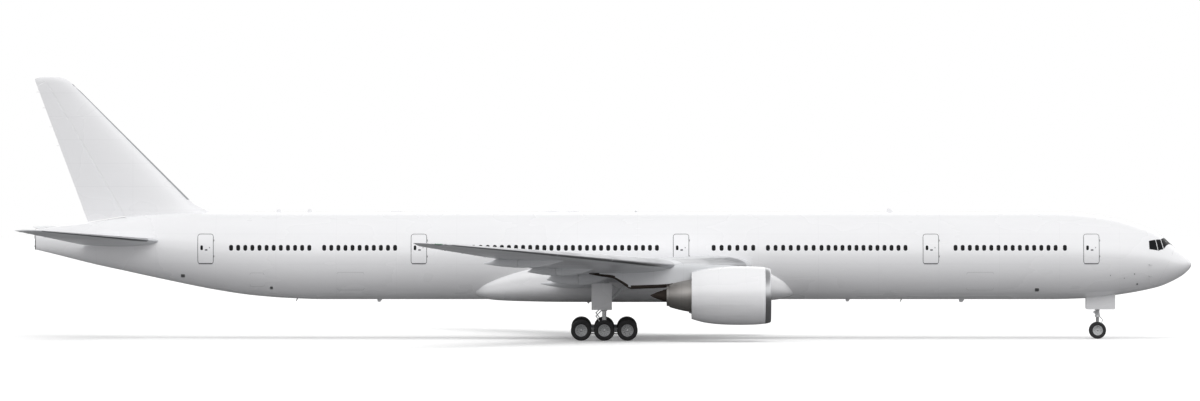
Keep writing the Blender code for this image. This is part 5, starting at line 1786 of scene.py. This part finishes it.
def buildMainPiston(bm):
    values = mainGearValues
    size = values["pistonRadius"]
    addTurned(bm, ((values["radius"] + 0.170, size), (values["kneeZ"] + 0.03, size)),
              (values["x"], values["y"], 0), "Z", 48)


def buildTruck(bm):
    values = mainGearValues
    hub = Vector((values["x"], values["y"], values["radius"]))
    beam, pitch = values["beam"], values["pitch"]
    addTurned(bm, [(-a, r) for a, r in reversed(beam)] + list(beam), hub, "X", 40)
    pistons = values["brakePistons"]
    for step, near in ((1, 0.060), (0, 0.118), (-1, 0.060)):
        middle = hub + Vector((step * pitch, 0, 0))
        for sign in (1, -1):
            # axle sleeve, brake pack and its pistons
            out = Vector((0, sign, 0))
            addRod(bm, middle + out * near, middle + out * 0.236, 0.056, None, 32, 0.1)
            addTurned(bm, [(sign * a, r) for a, r in values["brakePack"]], middle, "Y", 48, True, 1)
            for k in range(pistons):
                turn = 2 * math.pi * (k + 0.5) / pistons
                foot = middle + Vector((0.098 * math.sin(turn), sign * 0.180, 0.098 * math.cos(turn)))
                addRod(bm, foot, foot - out * 0.022, 0.015, None, 10, 0.2, 1)
    for sign in (1, -1):
        # brake rods under the beam, and the hoses over it
        for step in (1, -1):
            start = hub + Vector((step * 0.070, sign * 0.130, -0.105))
            stop = hub + Vector((step * (pitch - 0.03), sign * 0.150, -0.110))
            addRod(bm, start, stop, 0.014, None, 12)
            addRod(bm, stop, stop + Vector((step * 0.030, sign * 0.040, 0.010)), 0.020, None, 12)
        hose, half = hub + Vector((0, sign * 0.040, 0.066)), Vector((beam[-1][0] - 0.06, 0, 0))
        addRod(bm, hose - half, hose + half, 0.008, None, 8, 0.1)


def buildMainDoor(bm):
    values = mainGearValues
    lowX, highX, y, thick, lowZ, highZ = values["door"]
    joinLayers(bm, [
        [[bm.verts.new((x, y + off, z)) for x in steps(lowX, highX, 8)] for z in steps(lowZ, highZ, 16)]
        for off in (0.0, thick)
    ])
    # stiffeners on the inner face and the links to the leg
    for z in (1.05, 1.30, 1.45, 1.72):
        addBlock(bm, (lowX + 0.03, y - 0.016, z - 0.012), (highX - 0.03, y + 0.002, z + 0.012), 0.004)
    for z in (1.15, 1.60):
        addRod(bm, (values["x"], values["y"] + 0.088, z), (values["x"], y + 0.004, z), 0.024)
        for off in (0.034, -0.034):
            addBlockAt(bm, (values["x"] + off, y - 0.0215, z), (0.016, 0.047, 0.060), 0.004)


def makeMainGear():
    values = mainGearValues
    sidePiece("main_leg_frame", buildMainLeg, "gearPaint", "airframe", "main_leg")
    sidePiece("main_leg_piston", buildMainPiston, "oleoChrome", "airframe")
    sidePiece("truck_frame", buildTruck, ("gearPaint", "brakeMetal"), "airframe", "truck")
    sidePiece("main_gear_door_panel", buildMainDoor, "whitePaint", "airframe",
              "main_gear_door")
    for side, sideName in sides:
        for number, step in enumerate((1, 0, -1), start=1):
            centre = (values["x"] + values["pitch"] * step, side * values["y"], values["radius"])
            makeWheels(f"main_wheels_{sideName}_{number}", centre, values["halfWidth"], values["radius"],
                       values["twin"], values["axleRadius"])


def makeNoseLeg():
    values = noseGearValues
    foot = Vector((values["x"], 0, 0))
    leg, lamps, glass = (bmesh.new() for _ in range(3))
    addTurned(leg, values["cylinder"], foot, "Z", 40)
    for start, end, *rest in values["rods"]:
        addRod(leg, foot + Vector(start), foot + Vector(end), *rest)
    addBlockAt(leg, foot + Vector((-0.070, 0, 0.840)), (0.080, 0.080, 0.090), 0.008)
    for z in (1.10, 1.38):
        addBlockAt(leg, foot + Vector((-0.065, 0, z)), (0.040, 0.060, 0.020), 0.003)
    # taxi lights on the fixed part of the leg
    for sign in (1, -1):
        middle = foot + Vector((0, sign * 0.112, 1.165))
        addTurned(lamps, values["lampShell"], middle, "X", 32)
        addTurned(glass, values["lampGlass"], middle, "X", 32)
        inward = Vector((0, -sign, 0))
        addRod(lamps, middle + inward * 0.054, middle + inward * 0.032, 0.012, None, 12)
    makePiece("nose_leg_frame", leg, "gearPaint", "airframe", ("nose_leg",))
    makePiece("taxi_lamps", lamps, "gearPaint", "airframe")
    makePiece("taxi_lamp_glass", glass, "lampGlass", "airframe")


def makeNoseSteering():
    values = noseGearValues
    foot = Vector((values["x"], 0, 0))
    hub = foot + Vector((0, 0, values["radius"]))
    steered, chrome = bmesh.new(), bmesh.new()
    addBlockAt(steered, hub + Vector((0, 0, 0.001)), (0.104, 0.092, 0.114), 0.014)
    for sign in (1, -1):
        out = Vector((0, sign, 0))
        addRod(steered, hub + out * 0.044, hub + out * 0.064, 0.044, None, 32)
    addTurned(steered, values["fork"], hub, "Z", 40)
    addTurned(steered, values["collar"], foot, "Z", 48)
    addTorqueLinks(steered, foot, values["links"])
    # tow fitting
    addRod(steered, hub + Vector((0.050, 0, -0.025)), hub + Vector((0.105, 0, -0.045)), 0.013, None, 12)
    piston = ((hub.z + 0.095, values["pistonRadius"]), (values["steeringZ"] - 0.070, values["pistonRadius"]))
    addTurned(chrome, piston, foot, "Z", 40)
    makePiece("nose_steering_frame", steered, "gearPaint", "nose_steering", ("nose_steering",))
    makePiece("nose_piston_chrome", chrome, "oleoChrome", "nose_steering")


def makeNoseDoors():
    values = noseGearValues
    (lowX, highX), (lowZ, highZ) = values["doorX"], values["doorZ"]
    middle = ((lowX + highX) / 2, (lowZ + highZ) / 2)
    rim = roundedCorners(highX - lowX, highZ - lowZ, 0.05, 5)
    for side, sideName in sides:
        node = f"nose_gear_door_{sideName}"
        bm = bmesh.new()
        rings = [[Vector((middle[0] + a, side * y, middle[1] + b)) for a, b in rim] for y in values["doorY"]]
        addLoft(bm, rings)
        for x in (lowX + 0.12, middle[0], highX - 0.12):
            addBlockAt(bm, (x, side * (values["doorY"][0] - 0.006), 1.095), (0.024, 0.012, 0.25), 0.003)
        makePiece(node + "_panel", bm, "whitePaint", "airframe", (node,))


makeMainGear()
makeNoseLeg()
makeNoseSteering()
makeNoseDoors()
nose = noseGearValues
makeWheels("nose_wheels", (nose["x"], 0.0, nose["radius"]), nose["halfWidth"], nose["radius"], nose["twin"],
           nose["axleRadius"])
print("landing gear made")


# Small fittings: aerials, lamps, probes, discharge wicks, tail pipe and drains

def addBladeAerial(bm, x, length, height, lean, sign):
    # a swept blade on the crown, or under the keel where the sign is -1
    middle, rise, _ = bodyShape(x)
    foot = middle + sign * (rise - 0.006)
    rings = []
    for share in (0.0, 0.5, 0.9, 1.0):
        chord = length * (1 - 0.45 * share) * (0.6 if share == 1.0 else 1.0)
        start = x + length / 2 - lean * share
        ring = [(start - chord * along, 0.010 * across * (1 - 0.5 * share))
                for along, across in ((0, 0), (0.08, 0.5), (0.3, 1.0), (0.65, 0.7), (1.0, 0.08))]
        outline = ring + [(a, -b) for a, b in reversed(ring[1:])]
        rings.append([Vector((a, b, foot + sign * (height * share + 0.006))) for a, b in outline])
    addLoft(bm, rings)


def addDome(bm, x, length, width, height):
    # a low smooth bump on the crown
    rings = []
    for share in steps(0.0, 1.0, 12):
        place = x - length / 2 + length * share
        size = math.sqrt(max(0.02, 1 - (2 * share - 1) ** 2)) if 0 < share < 1 else 0.02
        top = sum(bodyShape(place)[:2])
        rings.append([Vector((place, width / 2 * size * math.sin(turn), top + height * size * math.cos(turn)))
                      for turn in fullTurn(16)])
    addLoft(bm, rings)


fittingValues = {
    # aerials: X, length, height, sweep; domes: X, length, width, height
    "crownBlades": ((8.93, 0.20, 0.115, 0.07), (-9.40, 0.17, 0.095, 0.06), (-10.38, 0.17, 0.095, 0.06)),
    "keelBlades": ((11.20, 0.18, 0.095, 0.06), (7.60, 0.14, 0.075, 0.05), (-7.20, 0.16, 0.085, 0.06)),
    "crownDomes": ((-6.66, 0.42, 0.20, 0.040), (-1.73, 0.48, 0.24, 0.042), (-1.10, 0.48, 0.24, 0.042)),
    # crown and keel lamps: X, Z, up or down, then their outlines
    "beacons": ((0.90, 4.006, 1), (-0.60, 1.166, -1)),
    "beaconBase": ((-0.02, 0.0), (-0.02, 0.045), (0.008, 0.045), (0.012, 0.038), (0.012, 0.0)),
    "beaconLamp": ((0.010, 0.0), (0.010, 0.034), (0.034, 0.031), (0.048, 0.020), (0.053, 0.0)),
    "probes": ((17.076, 2.353), (17.076, 1.999)),
    "ports": ((16.62, 2.06, 0.022), (16.30, 1.93, 0.016), (15.86, 2.02, 0.016), (16.72, 1.74, 0.030)),
    # wiper arm and blade on each front pane, by X and turn
    "wipers": (((17.600, 0.60), (17.745, 0.25)), ((17.745, 0.25), (17.690, 0.42))),
    "coneRim": (
        (-18.00, -0.012), (-18.085, 0.004), (-18.100, 0.002),
        (-18.104, -0.006), (-18.098, -0.016), (-18.082, -0.020),
    ),
    "exhaust": (
        (-18.0825, 0.0), (-18.0825, 0.062), (-18.112, 0.064),
        (-18.114, 0.058), (-18.090, 0.054), (-18.090, 0.0),
    ),
    "tailLamp": ((-18.08, 0.0), (-18.08, 0.026), (-18.112, 0.022), (-18.124, 0.012), (-18.128, 0.0)),
    "wickLength": 0.085,
    "wickPlaces": {
        "aileron": (11.7, 12.5, 13.3, 14.1), "outboard_flap": (9.9, 10.7), "elevator": (3.2, 3.8, 4.4, 4.9),
        "rudder": (6.1, 6.7, 7.3, 7.8),
    },
    # valves and panels low on each side: X, Z, width, half height
    "panels": ((13.55, 1.56, 0.13, 0.05), (-13.4, 2.00, 0.13, 0.05), (-10.6, 1.62, 0.09, 0.045)),
    "drains": (9.30, -9.80),
    # hold doors on the right: X, low Z, high Z, width
    "holdDoors": ((11.75, 1.55, 2.12, 0.86), (-8.10, 1.55, 2.12, 0.86), (-11.05, 1.66, 2.10, 0.46)),
}


def makeAerials():
    blades, domes, bases, lamps = (bmesh.new() for _ in range(4))
    for sign, rows in ((1, fittingValues["crownBlades"]), (-1, fittingValues["keelBlades"])):
        for row in rows:
            addBladeAerial(blades, *row, sign)
    for row in fittingValues["crownDomes"]:
        addDome(domes, *row)
    for x, foot, sign in fittingValues["beacons"]:
        for bm, profile in ((bases, fittingValues["beaconBase"]), (lamps, fittingValues["beaconLamp"])):
            addTurned(bm, [(sign * a, r) for a, r in profile], (x, 0, foot), "Z", 32)
    makePiece("blade_aerials", blades, "whitePaint", "airframe")
    makePiece("crown_domes", domes, "whitePaint", "airframe", (), 60)
    makePiece("beacon_bases", bases, "bareMetal", "airframe")
    makePiece("beacon_lamps", lamps, "lampGlass", "airframe", (), 60)


def makeProbes():
    masts, ports = bmesh.new(), bmesh.new()
    for side, _ in sides:
        for x, z in fittingValues["probes"]:
            turn = turnAt(x, z, side)
            root, normal = bodyPoint(x, turn, -0.004), bodyNormal(x, turn)
            knee = root + normal * 0.052 + Vector((0.018, 0, 0))
            addRod(masts, root, knee, 0.011, 0.007, 12)
            addRod(masts, knee - Vector((0.016, 0, 0)), knee + Vector((0.075, 0, 0)), 0.0075, 0.005, 14)
        for x, z, size in fittingValues["ports"]:
            addPlate(ports, x, z, 2 * size, 2 * size, side, 0.0035, size * 0.95)
        for ends in fittingValues["wipers"]:
            start, end = (bodyPoint(x, turnedBy(turn, side), 0.013) for x, turn in ends)
            addRod(masts, start, end, 0.005, None, 8, 0.1)
    makePiece("air_data_probes", masts, "bareMetal", "airframe")
    makePiece("static_ports", ports, "edgeMetal", "airframe")


def makeTailPipe():
    # exhaust of the small turbine in the tail cone, its rim, and the white tail lamp beside it
    middle, rise, halfWidth = bodyShape(-18.08)
    pipe, exhaust, lamp = (bmesh.new() for _ in range(3))
    rings = []
    for x, grow in fittingValues["coneRim"]:
        wide, tall = halfWidth + grow, rise + grow
        rings.append([Vector((x, wide * math.sin(t), middle + tall * math.cos(t))) for t in fullTurn(64)])
    addLoft(pipe, rings)
    addTurned(exhaust, fittingValues["exhaust"], (0, 0, 3.235), "X", 40)
    addTurned(lamp, fittingValues["tailLamp"], (0, 0, 2.925), "X", 24)
    makePiece("tail_cone_rim", pipe, "bareMetal", "airframe")
    makePiece("tail_pipe", exhaust, "plugMetal", "airframe")
    makePiece("tail_lamp", lamp, "lampGlass", "airframe", (), 60)


def makeWingLamps():
    # a lamp cover ahead of each wing tip, and a landing lamp in each wing root
    for (side, sideName), colour in zip(sides, ("redLamp", "greenLamp")):
        tip = bmesh.new()
        addEdgeStrip(tip, wingSection, *lampValues["tip"])
        if side < 0:
            bmesh.ops.scale(tip, vec=(1, -1, 1), verts=tip.verts)
        makePiece(f"wing_tip_lamp_{sideName}", tip, colour, "airframe", (), 60)
    lamps = bmesh.new()
    addEdgeStrip(lamps, wingSection, *lampValues["landing"])
    makePiece("landing_lamps", bothSides(lamps), "lampGlass", "airframe", (), 60)


def wickTree():
    # thin rods along a trailing edge, each pointing the way its point faces
    sizes = (("Length", 0.09), ("Root Radius", 0.0035), ("Tip Radius", 0.0015))
    tree, given = growTree("wicksOnPoints", [(label, "Float", value) for label, value in sizes])
    rod = putNode(tree, "GeometryNodeMeshCone", {
        "Vertices": 8, "Radius Bottom": given["Root Radius"], "Radius Top": given["Tip Radius"],
        "Depth": given["Length"],
    })
    return endTree(tree, given, given["Geometry"], rod.outputs["Mesh"], facingTurn(tree))


def makeWicks():
    tree = wickTree()
    values = {"Length": fittingValues["wickLength"], "Root Radius": 0.0036, "Tip Radius": 0.0016,
              "Material": finish["sealRubber"]}
    wing, plane = wingValues["stations"], tailValues["planeStations"]
    rows = fittingValues["wickPlaces"]
    for side, sideName in sides:
        for node, table, column in (("aileron", wing, 3), ("outboard_flap", wing, 3), ("elevator", plane, 3)):
            ends = [(y, rowBetween(table, y)[column:column + 2]) for y in rows[node]]
            points = [Vector((x - 0.012, side * y, z)) for y, (x, z) in ends]
            growOn(f"wicks_{node}_{sideName}", points, tree, values, f"{node}_{sideName}")
    points = [Vector((rowBetween(tailValues["fin"], z)[2] - 0.012, 0.0, z)) for z in rows["rudder"]]
    growOn("wicks_rudder", points, tree, values, "rudder")


def makeDrains():
    masts, outlets = bmesh.new(), bmesh.new()
    for x in fittingValues["drains"]:
        middle, rise, _ = bodyShape(x)
        foot = Vector((x, 0.0, middle - rise + 0.01))
        addRod(masts, foot, foot + Vector((-0.045, 0, -0.095)), 0.020, 0.012, 14)
    for side, _ in sides:
        for x, z, wide, tall in fittingValues["panels"]:
            addPlate(outlets, x, z, wide, 2 * tall, side, 0.0035, tall * 0.4, 0.004, 6)
    makePiece("drain_masts", masts, "bareMetal", "airframe")
    makePiece("service_panels", outlets, "edgeMetal", "airframe")


def addOutline(bm, centre, low, high, width, corner, side, line, lift):
    # a rounded frame of thin strips lying on the body's side
    outline = roundedCorners(width, high - low, corner, 5)
    inner = roundedCorners(width - 2 * line, high - low - 2 * line, corner - line, 5)
    rings = []
    for points, height in ((outline, -0.003), (outline, lift), (inner, lift), (inner, -0.003)):
        ring = []
        for a, b in points:
            x, z = centre + a, (low + high) / 2 + b
            ring.append(bm.verts.new(bodyPoint(x, turnAt(x, z, side), height)))
        rings.append(ring)
    count = len(outline)
    for first, second in zip(rings, rings[1:] + rings[:1]):
        for i in range(count):
            j = (i + 1) % count
            bm.faces.new((first[i], first[j], second[j], second[i]))


def makeHoldDoors():
    # outlines of the lower hold doors: forward and aft on the right, bulk door behind them
    lines = bmesh.new()
    for row in fittingValues["holdDoors"]:
        addOutline(lines, *row, 0.06, -1, 0.007, 0.0012)
    makePiece("hold_door_outlines", lines, "softLine", "airframe")


makeAerials()
makeProbes()
makeTailPipe()
makeWingLamps()
makeWicks()
makeDrains()
makeHoldDoors()
print("small fittings made")


# Stage, light and camera

stageValues = {
    "floorRadius": 260.0,
    "floorColour": (1.0, 1.0, 1.0),
    "floorTint": (0.985, 0.985, 0.985),
    "floorBounce": (0.34, 0.34, 0.345),
    "floorGloss": (0.13, 0.13, 0.13),
    "floorGlow": 0.12,
    "skyLow": 0.86,
    "skyHigh": 0.68,
    "bandHeight": 0.42,
    "bandWidth": 0.40,
    "bandPeak": 1.75,
    "bandBase": 0.50,
    "keyPower": 1.22,
    "keyElevation": 47.0,
    "keyTurn": 12.0,
    "keySpread": 50.0,
}
cameraValues = {"distance": 350.0, "lens": 332.0, "elevation": 0.5, "aim": (-0.234, 0.0, 4.37)}


def makeFloor():
    bm = bmesh.new()
    bmesh.ops.create_circle(bm, cap_ends=True, segments=96, radius=stageValues["floorRadius"])
    floor = bareObject("floor", bm)
    material = bpy.data.materials.new("paleFloor")
    material.use_nodes = True
    tree = material.node_tree
    shader = tree.nodes["Principled BSDF"]
    shader.inputs["Roughness"].default_value = 0.9
    shader.inputs["Specular IOR Level"].default_value = 0.1
    place = objectPlace(tree)[0]
    tint = mixColour(tree, noiseValue(tree, place, 0.3), stageValues["floorColour"], stageValues["floorTint"])
    # the floor looks white, but throws back only a little light, so undersides stay dark
    path = tree.nodes.new("ShaderNodeLightPath")
    seen = path.outputs["Is Camera Ray"]
    glossy = path.outputs["Is Glossy Ray"]
    thrown = mixColour(tree, glossy, stageValues["floorBounce"], stageValues["floorGloss"])
    tree.links.new(mixColour(tree, seen, thrown, tint), shader.inputs["Base Color"])
    glow = mathNode(tree, "MULTIPLY", seen, stageValues["floorGlow"])
    shader.inputs["Emission Color"].default_value = (1.0, 1.0, 1.0, 1.0)
    tree.links.new(glow, shader.inputs["Emission Strength"])
    floor.data.materials.append(material)


def makeWorld():
    world = bpy.data.worlds.new("studio")
    bpy.context.scene.world = world
    world.use_nodes = True
    tree = world.node_tree
    back = tree.nodes["Background"]
    place = tree.nodes.new("ShaderNodeTexCoord").outputs["Generated"]
    height = putNode(tree, "ShaderNodeSeparateXYZ", {0: place}).outputs["Z"]
    glow = mapRange(tree, height, 0.0, 1.0, stageValues["skyLow"], stageValues["skyHigh"])
    path = tree.nodes.new("ShaderNodeLightPath")
    # polished metal sees a bright band between two darker ones
    off = mathNode(tree, "ABSOLUTE", mathNode(tree, "SUBTRACT", height, stageValues["bandHeight"]))
    peak, base = stageValues["bandPeak"], stageValues["bandBase"]
    band = mapRange(tree, off, 0.0, stageValues["bandWidth"], peak, base)
    unseen = mapRange(tree, path.outputs["Is Glossy Ray"], 0.0, 1.0, glow, band)
    strength = mapRange(tree, path.outputs["Is Camera Ray"], 0.0, 1.0, unseen, 1.0)
    tree.links.new(strength, back.inputs["Strength"])
    back.inputs["Color"].default_value = (1.0, 1.0, 1.0, 1.0)


def makeKeyLight():
    light = bpy.data.lights.new("key", "SUN")
    light.energy = stageValues["keyPower"]
    light.angle = math.radians(stageValues["keySpread"])
    key = bpy.data.objects.new("key", light)
    bpy.context.scene.collection.objects.link(key)
    key.visible_glossy = False
    rise = math.radians(stageValues["keyElevation"])
    turn = math.radians(stageValues["keyTurn"])
    toLight = Vector((math.sin(turn) * math.cos(rise), -math.cos(turn) * math.cos(rise), math.sin(rise)))
    key.rotation_mode = "QUATERNION"
    key.rotation_quaternion = toLight.to_track_quat("Z", "Y")


def makeCamera():
    camera = bpy.data.objects.new("camera", bpy.data.cameras.new("camera"))
    bpy.context.scene.collection.objects.link(camera)
    rise = math.radians(cameraValues["elevation"])
    back = Vector((0.0, -math.cos(rise), math.sin(rise)))
    camera.location = Vector(cameraValues["aim"]) + back * cameraValues["distance"]
    camera.rotation_mode = "QUATERNION"
    camera.rotation_quaternion = back.to_track_quat("Z", "Y")
    camera.data.lens = cameraValues["lens"]
    camera.data.sensor_width = 36.0
    camera.data.clip_start = 10.0
    camera.data.clip_end = 2000.0
    bpy.context.scene.camera = camera


makeFloor()
makeWorld()
makeKeyLight()
makeCamera()
bpy.context.scene.view_settings.view_transform = "Standard"
print("stage set")
